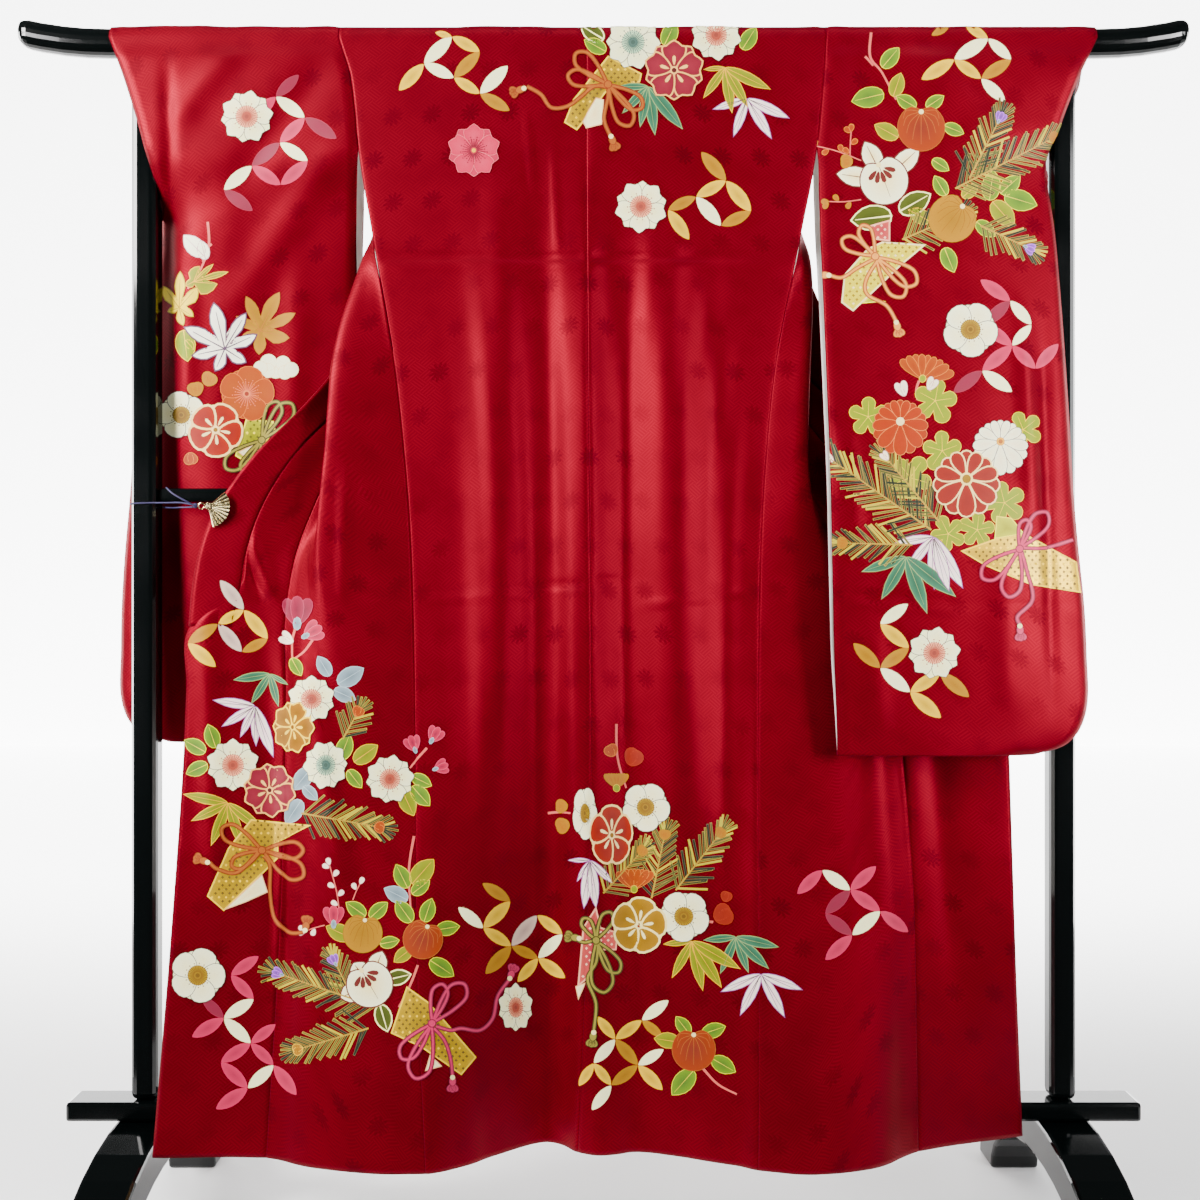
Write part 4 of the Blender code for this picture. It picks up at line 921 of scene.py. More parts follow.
STEMS = {
    "body": [
        ([(298, 622), (293, 640), (293, 660)], ), ([(313, 640), (304, 652), (293, 660)], ),
        ([(427, 748), (418, 758), (410, 768)], ), ([(414, 836), (409, 870), (411, 911)], ),
        ([(418, 965), (410, 986), (399, 1007)], ), ([(616, 724), (617, 757), (626, 788)], ),
        ([(548, 813), (560, 812), (571, 813)], ), ([(703, 1068), (718, 1084), (737, 1094)], ),
        ([(713, 922), (700, 920), (690, 915)], ),
    ],
    "sleeve_left": [
        ([(208, 222), (209, 246), (201, 269), (188, 289)], ), ([(212, 244), (206, 250), (203, 262)], ),
        ([(196, 398), (202, 410), (204, 420)], ),
    ],
    "sleeve_right": [
        ([(871, 33), (870, 57), (882, 73), (896, 100)], ), ([(865, 57), (868, 60), (873, 66)], ),
        ([(919, 381), (916, 390), (917, 400)], ), ([(860, 168), (875, 178), (884, 190)], ),
    ],
}
PAPER_COLUMNS = ("dye", "outline", "fold", "turned")
PAPERS = {
    "body": [
        ("gold", [(608, 56), (642, 74), (640, 83), (613, 84), (577, 131), (564, 123), (573, 100)], [(582,
            122), (596, 98), (604, 100), (602, 125), (586, 129)]),
        ("gold", [(251, 819), (312, 825), (279, 842), (279, 858), (224, 911), (207, 896), (228, 848)],
            [(224, 910), (262, 874), (268, 892), (246, 902)]),
        ("gold", [(407, 986), (429, 1002), (476, 1057), (461, 1075), (421, 1047), (391, 1033), (397, 1015)],
            [(425, 1071), (430, 1054), (442, 1066)]),
        ("pink", [(596, 906), (601, 927), (618, 932), (616, 950), (599, 950), (587, 979), (578, 987), (583,
            927)], [(576, 986), (586, 982), (579, 1000)]),
    ],
    "sleeve_left": [
        ("green", [(246, 419), (274, 421), (276, 430), (249, 464), (235, 456)], [(238, 452), (262, 440),
            (250, 462)]),
    ],
    "sleeve_right": [
        ("pale", [(882, 242), (926, 245), (902, 265), (853, 312), (841, 303), (844, 275), (867, 249)],
            [(861, 304), (868, 298), (886, 302)], "green"),
        ("pink", [(869, 226), (890, 220), (890, 242), (874, 240)], ()),
        ("gold", [(960, 551), (994, 539), (1025, 534), (1076, 562), (1080, 593), (1030, 585), (985, 566)],
            [(994, 539), (996, 516), (1011, 518), (1024, 534)], "green"),
    ],
}
CORD_COLUMNS = ("points", "dye")
CORDS = {
    "body": [
        ([(608, 88), (594, 87), (580, 98), (567, 107), (551, 108), (541, 95), (527, 87)], "orange"),
        ([(608, 90), (608, 98), (604, 119), (610, 136)], "orange"),
        ([(258, 852), (238, 872), (218, 869), (210, 862)], "orange"),
        ([(264, 856), (270, 866), (270, 892), (275, 918), (290, 932), (304, 932)], "orange"),
        ([(436, 1026), (450, 1030), (461, 1028), (479, 1030), (492, 1018), (497, 996), (508, 980)], "pink"),
        ([(434, 1028), (444, 1040), (450, 1058), (452, 1076)], "pink"),
        ([(598, 944), (596, 962), (588, 979), (596, 1003), (594, 1030)], "olive"),
        ([(594, 940), (584, 942), (574, 937)], "olive"),
    ],
    "sleeve_right": [
        ([(873, 260), (858, 268), (842, 278), (830, 276)], "cream"),
        ([(878, 260), (866, 280), (867, 295), (886, 306), (896, 322)], "cream"),
        ([(1022, 548), (1045, 548), (1072, 540)], "pink"),
        ([(1021, 552), (1026, 570), (1032, 599), (1017, 616), (1019, 624)], "pink"),
    ],
}
TASSEL_COLUMNS = ("x", "y", "turn", "dye")
TASSELS = {
    "body": [
        (524, 89, 160, "orange"), (611, 137, 70, "orange"), (208, 862, 200, "orange"),
        (306, 930, -80, "orange"), (509, 978, -70, "pink"), (452, 1077, 90, "pink"),
        (594, 1032, 100, "olive"), (580, 938, 190, "olive"),
    ],
    "sleeve_right": [(829, 276, 185, "cream"), (896, 323, 75, "cream"), (1019, 626, 85, "pink")],
}
BOW_COLUMNS = ("x", "y", "dye", "loops")
BOWS = {
    "body": [
        (608, 85, "orange", [(568, 76), (576, 54), (642, 108), (630, 126)]),
        (262, 850, "orange", [(304, 850), (304, 876), (222, 828), (232, 866)]),
        (432, 1023, "pink", [(442, 984), (464, 984), (402, 1058), (416, 1078)]),
        (596, 940, "olive", [(618, 972), (604, 992), (584, 918), (610, 912)]),
    ],
    "sleeve_left": [(262, 440, "olive", [(292, 404), (278, 402), (226, 468), (244, 474)])],
    "sleeve_right": [
        (875, 257, "cream", [(842, 240), (862, 226), (916, 284), (903, 297)]),
        (1019, 549, "pink", [(1026, 520), (1046, 513), (982, 578), (1008, 597)]),
    ],
}


# Finishes

def linear(colour):
    """A colour of the screen, 0 to 255, as linear light."""
    parts = [value / 255 for value in colour]
    return tuple(p / 12.92 if p <= 0.04045 else ((p + 0.055) / 1.055) ** 2.4 for p in parts)


class Finish:
    """A material and its nodes."""

    def __init__(self, name, colour, roughness, metallic=0.0):
        self.material = bpy.data.materials.new(name)
        self.material.use_nodes = True
        self.tree = self.material.node_tree
        self.shader = self.tree.nodes["Principled BSDF"]
        self.give("Base Color", (*linear(colour), 1.0))
        self.give("Roughness", roughness)
        self.give("Metallic", metallic)

    def node(self, kind, **settings):
        made = self.tree.nodes.new(kind)
        for key, value in settings.items():
            setattr(made, key, value)
        return made

    def feed(self, value, socket):
        if isinstance(value, bpy.types.NodeSocket):
            self.tree.links.new(value, socket)
        else:
            socket.default_value = value

    def maths(self, operation, *values):
        made = self.node("ShaderNodeMath", operation=operation)
        for value, socket in zip(values, made.inputs):
            self.feed(value, socket)
        return made.outputs[0]

    def blend(self, share, first, second):
        made = self.node("ShaderNodeMix", data_type="RGBA")
        self.feed(share, made.inputs[0])
        for value, socket in ((first, made.inputs[6]), (second, made.inputs[7])):
            self.feed((*linear(value), 1.0) if isinstance(value, tuple) else value, socket)
        return made.outputs[2]

    def ramp(self, value, low, high, start=0.0, end=1.0):
        made = self.node("ShaderNodeMapRange", interpolation_type="SMOOTHSTEP")
        for number, socket in zip((value, low, high, start, end), made.inputs):
            self.feed(number, socket)
        return made.outputs[0]

    def grain(self, where, scale, detail=2.0):
        made = self.node("ShaderNodeTexNoise")
        self.feed(where, made.inputs["Vector"])
        made.inputs["Scale"].default_value = scale
        made.inputs["Detail"].default_value = detail
        return made.outputs["Fac"]

    def clouds(self, where, scale, start=0.0, end=1.0):
        """Soft patches that go from one value to another."""
        return self.ramp(self.grain(where, scale), *CLOUDY, start, end)

    def bump(self, height, distance, strength):
        made = self.node("ShaderNodeBump")
        made.inputs["Distance"].default_value = distance
        made.inputs["Strength"].default_value = strength
        self.feed(height, made.inputs["Height"])
        self.give("Normal", made.outputs["Normal"])

    def object_place(self):
        return self.node("ShaderNodeTexCoord").outputs["Object"]

    def axes(self, place):
        """The x, y and z of a place."""
        made = self.node("ShaderNodeSeparateXYZ")
        self.feed(place, made.inputs[0])
        return made.outputs

    def weave_place(self):
        return self.node("ShaderNodeUVMap", uv_map="weave").outputs["UV"]

    def give(self, socket, value):
        """Gives one of the shader's sockets a value or what a node makes."""
        self.feed(value, self.shader.inputs[socket])


def weave_masks(finish):
    """The figured ground: key fret in blocks of lines, and small blossoms."""
    maths, ramp = finish.maths, finish.ramp
    place = finish.weave_place()
    across, along, _ = finish.axes(place)
    slanted = maths("MULTIPLY", across, FRET_SLANT)
    rising = maths("DIVIDE", maths("ADD", slanted, along), FRET_BLOCK)
    falling = maths("DIVIDE", maths("SUBTRACT", slanted, along), FRET_BLOCK)
    blocks = maths("ADD", maths("FLOOR", rising), maths("FLOOR", falling))
    parity = maths("FLOORED_MODULO", blocks, 2.0)
    rising_line = maths("PINGPONG", maths("MULTIPLY", rising, FRET_LINES), 0.5)
    falling_line = maths("PINGPONG", maths("MULTIPLY", falling, FRET_LINES), 0.5)
    near = maths("MULTIPLY", rising_line, parity)
    far = maths("MULTIPLY", falling_line, maths("SUBTRACT", 1.0, parity))
    fret = ramp(maths("ADD", near, far), *FRET_EDGE)
    row = maths("FLOOR", maths("DIVIDE", along, BLOOM_ROW))
    shift = maths("MULTIPLY", maths("FLOORED_MODULO", row, 2.0), BLOOM_STEP / 2)
    wrapped = maths("FLOORED_MODULO", maths("ADD", across, shift), BLOOM_STEP)
    side = maths("SUBTRACT", wrapped, BLOOM_STEP / 2)
    lift = maths("FLOORED_MODULO", along, BLOOM_ROW)
    up = maths("SUBTRACT", lift, BLOOM_ROW / 2)
    side = maths("ADD", side, maths("MULTIPLY", up, BLOOM_LEAN))
    reach = maths("SQRT", maths("ADD", maths("MULTIPLY", side, side), maths("MULTIPLY", up, up)))
    turn = maths("ARCTAN2", up, side)
    lobes = maths("ABSOLUTE", maths("SINE", maths("MULTIPLY", turn, BLOOM_PETALS / 2)))
    rim = maths("MULTIPLY_ADD", lobes, BLOOM_REACH - BLOOM_CORE, BLOOM_CORE)
    bloom = ramp(maths("SUBTRACT", rim, reach), 0.0, BLOOM_EDGE)
    threads = finish.grain(place, THREAD_RATE)
    speckle = ramp(threads, *SPECKLE)
    patches = ramp(finish.grain(place, PATCH_RATE), *PATCHES)
    bloom = maths("MULTIPLY", maths("MULTIPLY", bloom, speckle), patches)
    return place, fret, bloom, threads


def figured_silk():
    finish = Finish("figured_crimson_silk", CRIMSON, 0.45, 0.35)
    finish.give("Specular IOR Level", 0.15)
    place, fret, bloom, threads = weave_masks(finish)
    ground = finish.blend(fret, CRIMSON, CRIMSON_LINE)
    cloudy = finish.clouds(place, 14.0)
    ground = finish.blend(finish.maths("MULTIPLY", cloudy, 0.35), ground, CRIMSON_DEEP)
    finish.give("Base Color", finish.blend(bloom, ground, CRIMSON_BLOOM))
    gloss = finish.maths("MULTIPLY_ADD", fret, -0.04, 0.47)
    gloss = finish.maths("MULTIPLY_ADD", bloom, 0.10, gloss)
    finish.give("Roughness", gloss)
    finish.give("Specular Tint", (1.0, 0.05, 0.12, 1.0))
    finish.give("Sheen Weight", 0.03)
    finish.give("Sheen Tint", (1.0, 0.1, 0.2, 1.0))
    height = finish.maths("MULTIPLY_ADD", fret, 0.28, threads)
    finish.bump(height, 0.00012, 0.6)
    return finish.material


def lining_silk(name, facing):
    """White lining with a crimson hem facing, and a crimson facing from a reach across the cloth."""
    finish = Finish(name, LINING_WHITE, 0.55)
    place = finish.object_place()
    hem = finish.ramp(finish.axes(place)[2], HEM_FACING_TOP, HEM_FACING_TOP + 2 * FACING_EDGE, 1.0, 0.0)
    white = finish.blend(finish.clouds(place, 30.0), LINING_WHITE, LINING_SHADE)
    if facing:
        across = finish.axes(finish.weave_place())[0]
        hem = finish.maths("MAXIMUM", hem, finish.ramp(across, facing, facing + FACING_EDGE))
    finish.give("Base Color", finish.blend(hem, white, CRIMSON))
    finish.give("Sheen Weight", 0.02)
    finish.bump(finish.grain(place, 1500.0), 0.0001, 0.5)
    return finish.material


def dyed_finish(name, roughness, metallic, thread):
    finish = Finish(name, (200, 200, 200), roughness, metallic)
    finish.give("Specular IOR Level", 0.15)
    dye = finish.node("ShaderNodeAttribute", attribute_name="dye")
    place = finish.object_place()
    threads = finish.grain(place, thread)
    cloudy = finish.ramp(threads, *CLOUDY, 0.0, 0.16)
    finish.give("Base Color", finish.blend(cloudy, dye.outputs["Color"], (60, 20, 20)))
    finish.bump(threads, 0.00015, 0.6)
    return finish.material


def lacquer():
    finish = Finish("black_lacquer", (2, 4, 4), 0.1)
    finish.give("Specular IOR Level", 0.35)
    place = finish.object_place()
    finish.give("Roughness", finish.clouds(place, 6.0, 0.07, 0.13))
    finish.bump(finish.grain(place, 40.0, 3.0), 0.0002, 0.12)
    return finish.material


def gilt():
    """Gilt brass, dark with painted shade in the grooves between the fan's pleats, and paler with a painted
    highlight on the ribs.
    """
    finish = Finish("gilt_brass", (214, 168, 84), 0.26, 1.0)
    place = finish.object_place()
    x, _, z = finish.axes(place)
    side = finish.maths("SUBTRACT", x, FAN_PIVOT[0])
    rise = finish.maths("SUBTRACT", z, FAN_PIVOT[1])
    turn = finish.maths("SUBTRACT", finish.maths("ARCTAN2", rise, side), FAN_START)
    pleat = finish.maths("PINGPONG", finish.maths("DIVIDE", turn, FAN_RIB), 0.5)
    painted_groove_shade = finish.ramp(pleat, 0.2, 0.42)
    wear = finish.ramp(finish.grain(place, 180.0, 4.0), 0.42, 0.7)
    # Base colour: a pale painted highlight on the ribs and dark painted shade in the grooves between the
    # pleats
    finish.give("Base Color", finish.blend(painted_groove_shade, (240, 222, 166), (64, 42, 14)))
    finish.give("Roughness", finish.ramp(wear, 0.0, 1.0, 0.22, 0.34))
    return finish.material


def braid():
    finish = Finish("purple_braid", (22, 14, 60), 0.7)
    place = finish.object_place()
    ply = finish.grain(place, 900.0)
    finish.give("Base Color", finish.blend(ply, (12, 6, 42), (34, 24, 80)))
    finish.bump(ply, 0.0003, 0.8)
    return finish.material


def floor_finish(name, glow, start, end):
    """White paper that glows more and more from one distance to another, as a lit sweep does."""
    finish = Finish(name, (244, 244, 244), 0.9)
    place = finish.object_place()
    cloudy = finish.grain(place, 0.8)
    finish.give("Base Color", finish.blend(cloudy, (242, 242, 242), (247, 247, 247)))
    finish.give("Emission Color", (1.0, 1.0, 1.0, 1.0))
    finish.give("Emission Strength", finish.ramp(finish.axes(place)[1], start, end, 0.0, glow))
    return finish.material


# Camera and cord

def make_camera():
    lens = bpy.data.cameras.new("picture_camera")
    lens.sensor_width = SENSOR
    lens.lens = SENSOR * -EYE.y / (PICTURE_WIDTH * PIXEL)
    lens.clip_start = 0.05
    camera = bpy.data.objects.new("picture_camera", lens)
    camera.location = EYE
    camera.rotation_euler = (math.radians(90), 0, 0)
    bpy.context.scene.collection.objects.link(camera)
    bpy.context.scene.camera = camera


def link(thing, slot, *nodes):
    """Puts a finished piece in the scene, on the part's one body."""
    bpy.context.scene.collection.objects.link(thing)
    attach(thing, "root")
    if nodes:
        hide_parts(*nodes)


def finished(name, shape, *materials):
    """An object made of a shape and its materials."""
    mesh = bpy.data.meshes.new(name)
    shape.to_mesh(mesh)
    shape.free()
    for material in materials:
        mesh.materials.append(material)
    return bpy.data.objects.new(name, mesh)


def make_cord(name, points, node, material):
    route = cord_route(points, CORD_POINTS_PER_CONTROL)
    curve = bpy.data.curves.new(name, "CURVE")
    curve.dimensions = "3D"
    curve.bevel_depth = CORD_DIAMETER / 2
    curve.bevel_resolution = 2
    curve.use_fill_caps = True
    spline = curve.splines.new("POLY")
    spline.points.add(len(route) - 1)
    for point, place in zip(spline.points, route):
        point.co = (*place, 1.0)
    curve.materials.append(material)
    piece = bpy.data.objects.new(name, curve)
    link(piece, "cord", node)


# Fine surface of the cloth, through the same rows as the solids

def refined_line(points, counts):
    """Points on a smooth line through the given ones, with a count for each stretch."""
    marks = [0.0]
    for a, b in zip(points, points[1:]):
        marks.append(marks[-1] + max((b - a).length, 1e-6))
    axes = [[point[axis] for point in points] for axis in range(3)]
    slopes = [centred_slopes(marks, values) for values in axes]
    line = []
    for k, count in enumerate(counts):
        for step in range(count):
            at = marks[k] + (marks[k + 1] - marks[k]) * step / count
            line.append(Vector([stretch_value(marks, values, slope, k, at)
                                for values, slope in zip(axes, slopes)]))
    line.append(points[-1].copy())
    return line


def refined_grid(rows, pitch, mirrored=False):
    """The coarse rows of a sheet made fine in both ways, and where each coarse row went."""
    across = []
    for k in range(len(rows[0]) - 1):
        widest = max((row[k + 1] - row[k]).length for row in rows)
        across.append(max(1, math.ceil(widest / pitch)))
    wide = [refined_line(row, across) for row in rows]
    along = []
    for lower, upper in zip(wide, wide[1:]):
        longest = max((b - a).length for a, b in zip(lower, upper))
        along.append(max(1, math.ceil(longest / pitch)))
    if mirrored:
        along = [max(pair) for pair in zip(along, reversed(along))]
    marks = [0]
    for count in along:
        marks.append(marks[-1] + count)
    columns = [refined_line([row[k] for row in wide], along) for k in range(len(wide[0]))]
    return [[column[i] for column in columns] for i in range(len(columns[0]))], marks


def sheet_shape(grid, flip):
    """An open sheet through a grid of points, with its weave's coordinates in metres."""
    shape = bmesh.new()
    weave = shape.loops.layers.uv.new("weave")
    width = len(grid[0])
    verts = bmesh.ops.create_grid(shape, x_segments=width - 1, y_segments=len(grid) - 1, size=1.0)["verts"]
    shape.verts.ensure_lookup_table()
    places = {}
    heights = [0.0] * width
    for i, row in enumerate(grid):
        reach = 0.0
        for k, point in enumerate(row):
            if k:
                reach += (point - row[k - 1]).length
            if i:
                heights[k] += (point - grid[i - 1][k]).length
            vert = verts[i * width + k]
            vert.co = point
            places[vert] = (reach, heights[k])
    for face in shape.faces:
        face.smooth = True
        for loop in face.loops:
            loop[weave].uv = places[loop.vert]
    if flip:
        bmesh.ops.reverse_faces(shape, faces=shape.faces[:])
    return shape, verts


# Rows of each cut piece, as in the solids

def body_rows(side):
    rows = [back_row(side, z) for z in BODY_ROWS]
    for step in range(WRAP_STEPS + 1):
        rows.append(wrap_row(side, math.pi * step / WRAP_STEPS))
    return rows + [front_row(side, z) for z in reversed(BODY_ROWS)]


def okumi_rows(side):
    rows = []
    for z in BODY_ROWS:
        if z > OKUMI_TOP or z == OKUMI_STEP:
            continue
        section, start, end = front_section(side, z)
        places = [section.point(start + (end - start) * part) for part in OKUMI_COLUMNS]
        rows.append([Vector((x, y, z)) for x, y in places])
    return rows


def collar_rows():
    heights = [COLLAR_END] + [z for z in BODY_ROWS if COLLAR_END < z < NECK_SEAM_Z]
    rows = [collar_row("left", z) for z in heights]
    rows.append(collar_row("left", NECK_SEAM_Z))
    return rows + [collar_row("right", z) for z in reversed(heights)]


def sleeve_rows(side):
    rows = [sleeve_row(side, 0, z) for z in SLEEVE_ROWS]
    for step in range(WRAP_STEPS + 1):
        rows.append(sleeve_wrap_row(side, math.pi * step / WRAP_STEPS))
    return rows + [sleeve_row(side, 1, z) for z in reversed(SLEEVE_ROWS)]


# Creases laid one by one: soft ridges (rise above 0) and troughs, in the picture's pixels

def picture_place(point):
    """Where the picture shows a point, in its pixels."""
    reach = (point.y - EYE.y) / -EYE.y * PIXEL
    return PICTURE_CENTRE + (point.x - EYE.x) / reach, PICTURE_CENTRE - (point.z - EYE.z) / reach


def crease_lift(creases, across, down):
    """How far the creases lift the cloth towards the viewer at a place of the picture."""
    lift = 0.0
    for x0, y0, x1, y1, reach, rise in creases:
        length = math.hypot(x1 - x0, y1 - y0)
        way = ((x1 - x0) / length, (y1 - y0) / length)
        along = ((across - x0) * way[0] + (down - y0) * way[1]) / length
        if not -CREASE_RUN_OUT < along < 1 + CREASE_RUN_OUT:
            continue
        off = abs((across - x0) * way[1] - (down - y0) * way[0])
        if off > 3 * reach:
            continue
        ends = fade(-CREASE_RUN_OUT, CREASE_FULL, along) * fade(1 + CREASE_RUN_OUT, 1 - CREASE_FULL, along)
        lift += rise * math.exp(-(off / reach) ** 2) * ends
    return lift


def settle(grid, near_rows, creases, opened, fullness):
    """Gives the fine grid its creases, a slight unevenness and dips along its seams."""
    for i, row in enumerate(grid):
        last = len(row) - 1
        near = i < near_rows
        for k, point in enumerate(row):
            front = fade(FRONT_TURN[1], FRONT_TURN[0], point.z) if opened and not near else 0.0
            ripple_x, ripple_z = point.x * RIPPLE_RATE[0], point.z * RIPPLE_RATE[1]
            uneven = noise.noise(Vector((ripple_x, ripple_z, point.y * RIPPLE_RATE[0])))
            lift = fullness + RIPPLE * uneven
            across, down = picture_place(point)
            if near or front > 0.5:
                lift += CREASE_GAIN * crease_lift(creases, across, down)
            else:
                lift += crease_lift(creases, across + REAR_SHIFT[0], down + REAR_SHIFT[1])
            edge = min((point - row[0]).length, (point - row[last]).length)
            fall = SEAM_DIP * math.exp(-(edge / SEAM_REACH) ** 2)
            toward = -1 if near or front > 0.5 else 1
            turn = abs(2 * front - 1)
            calm = fade(0.0, RAIL_CALM, abs(point.z - RAIL_AXIS_Z) - RAIL_STILL)
            calm = calm * fade(0.0, EDGE_CALM, edge) * turn
            point.y += toward * (lift * calm - fall * (point.z < RAIL_AXIS_Z - RAIL_CALM))
            swell = RAIL_BUMP * max(0.0, noise.noise(Vector((point.x * RAIL_BUMP_RATE, 0.3, 0.7))))
            over = fade(-BUMP_RUN, BUMP_RUN, point.z - RAIL_AXIS_Z) * fade(0.0, BUMP_EDGE, edge)
            point.z += swell * over


def add_wall(piece, wall):
    solid = piece.modifiers.new("Wall", "SOLIDIFY")
    solid.thickness = wall
    solid.offset = 0.0
    solid.use_even_offset = True
    solid.material_offset = 1
    solid.material_offset_rim = 0


def sew_sleeve(shape, verts, width, marks, cuff_row):
    """Closes a sleeve along its bottom and along its outer edge up to the cuff."""
    weave = shape.loops.layers.uv.active
    last = len(verts) // width - 1
    pairs = [((i, width - 1), (last - i, width - 1)) for i in range(marks[cuff_row], -1, -1)]
    pairs += [((0, k), (last, k)) for k in range(width - 2, -1, -1)]
    for (near, far), (near_next, far_next) in zip(pairs, pairs[1:]):
        corners = [verts[i * width + k] for i, k in (near, near_next, far_next, far)]
        face = shape.faces.new(corners)
        face.smooth = True
        for loop in face.loops:
            loop[weave].uv = (loop.vert.co.x, loop.vert.co.z)
    bmesh.ops.recalc_face_normals(shape, faces=shape.faces[:])


def make_cloth(name, rows, wall, creases, flip, near=None, cuff_row=None):
    """One cut piece of the garment as a thin lined sheet on its solid's form."""
    mirrored = cuff_row is not None
    grid, marks = refined_grid(rows, CLOTH_PITCH, mirrored)
    near_rows = len(grid) if near is None else marks[near]
    settle(grid, near_rows, creases, near is not None and not mirrored, SLEEVE_FULLNESS if mirrored else 0.0)
    shape, verts = sheet_shape(grid, flip)
    if mirrored:
        sew_sleeve(shape, verts, len(grid[0]), marks, cuff_row)
        if (verts[len(grid[0])].normal.y > 0) or shape.faces[0].normal.y > 0:
            bmesh.ops.reverse_faces(shape, faces=shape.faces[:])
    lining = SLEEVE_LINING if mirrored else SILK if name == "collar" else LINING
    piece = finished("silk_" + name, shape, SILK, lining)
    add_wall(piece, wall)
    link(piece, "silk", name)
    return piece


# Drawing of the dyed and gilt motifs, flat in the picture's pixels and then laid on the cloth

class Drawing:
    """Flat shapes of dyed colour and gold for one part of the cloth, each on its own level."""

    def __init__(self):
        self.shape = bmesh.new()
        self.dye = self.shape.loops.layers.float_color.new("dye")
        self.level = self.shape.verts.layers.float.new("level")

    def paint(self, faces, dye):
        for face in faces:
            for loop in face.loops:
                loop[self.dye] = (*linear(dye), 1.0)

    def outline(self, places, level):
        verts = []
        for x, y in places:
            vert = self.shape.verts.new((x, y, 0.0))
            vert[self.level] = level
            verts.append(vert)
        face = self.shape.faces.new(verts)
        face.normal_update()
        return face

    def patch(self, places, rim, heart, level, edge=None, line=0.0, foil=0):
        """A filled outline whose colour goes from its rim to its heart, with an edge line."""
        face = self.outline(places, level)
        if edge:
            made = bmesh.ops.inset_individual(self.shape, faces=[face], thickness=line, use_even_offset=True)
            self.paint(made["faces"], edge)
            for vert in face.verts:
                vert[self.level] = level
        face.material_index = foil
        made = bmesh.ops.poke(self.shape, faces=[face])
        middle = made["verts"][0]
        middle[self.level] = level
        self.paint(made["faces"], rim)
        for loop in middle.link_loops:
            loop[self.dye] = (*linear(heart), 1.0)

    def stroke(self, points, width, dye, level, tip=1.0):
        """A line of a width, which narrows to tip times it at its end."""
        pairs = []
        for k, (x, y) in enumerate(points):
            before = points[max(k - 1, 0)]
            after = points[min(k + 1, len(points) - 1)]
            run = (after[0] - before[0], after[1] - before[1])
            length = math.hypot(*run) or 1.0
            half = width / 2 * (1 + (tip - 1) * k / (len(points) - 1))
            off = (-run[1] / length * half, run[0] / length * half)
            pair = []
            for sign in (1, -1):
                vert = self.shape.verts.new((x + sign * off[0], y + sign * off[1], 0.0))
                vert[self.level] = level
                pair.append(vert)
            pairs.append(pair)
        made = [self.shape.faces.new((a, b, d, c)) for (a, b), (c, d) in zip(pairs, pairs[1:])]
        self.paint(made, dye)

    def dot(self, x, y, radius, dye, level, sides=8):
        places = [polar((x, y), radius, 2 * math.pi * k / sides) for k in range(sides)]
        self.paint([self.outline(places, level)], dye)


def polar(centre, reach, angle):
    return centre[0] + reach * math.cos(angle), centre[1] + reach * math.sin(angle)


def smooth_path(points, count):
    """Points along a smooth line through a few places of the picture."""
    places = [(*point, 0.0) for point in points]
    return [(point.x, point.y) for point in cord_route(places, count)]


def lobe_outline(centre, angle, start, end, half, belly=0.0, point=1.0, tip=None, frill=0.0, sides=14):
    """A petal or leaf from start to end along an angle; point and tip above 1 sharpen its ends."""
    outline = []
    way = (math.cos(angle), math.sin(angle))
    tip = point if tip is None else tip
    for k in range(sides):
        turn = 2 * math.pi * k / sides
        along = math.cos(turn)
        sharp = point + (tip - point) * (1 + along) / 2
        across = math.copysign(abs(math.sin(turn)) ** sharp, math.sin(turn)) * half * (1 + belly * along)
        wrapped = min(turn, 2 * math.pi - turn)
        dip = frill * (1 - math.cos(6 * wrapped)) / 2 if wrapped < math.pi / 3 else 0.0
        reach = start + (end - start) * (1 + along) / 2 - dip
        outline.append((centre[0] + way[0] * reach - way[1] * across,
                        centre[1] + way[1] * reach + way[0] * across))
    return outline


def lobe(drawing, centre, angle, start, end, half, colours, level, line=0.8, **form):
    """A petal or leaf with an edge line; colours are its line, rim and heart."""
    edge, rim, heart = colours
    places = lobe_outline(centre, angle, start, end, half, **form)
    drawing.patch(places, rim, heart, level, edge if line else None, line)


def between(x0, y0, x1, y1):
    """Length and direction from one place to another."""
    return math.hypot(x1 - x0, y1 - y0), math.atan2(y1 - y0, x1 - x0)


def draw_petal(drawing, x0, y0, x1, y1, dye):
    """One pointed petal of the linked circles."""
    length, angle = between(x0, y0, x1, y1)
    lobe(drawing, (x0, y0), angle, PETAL_GAP, length - PETAL_GAP, length * PETAL_WIDTH, PETAL_DYES[dye],
         0.0, line=FINE_LINE, point=1.6, sides=18)


def rim_reach(radius, rise, angle):
    """How far a flower's rim is from its heart, which lies a rise above its middle."""
    lean = rise * math.sin(angle)
    return lean + math.sqrt(lean * lean + radius * radius - rise * rise)


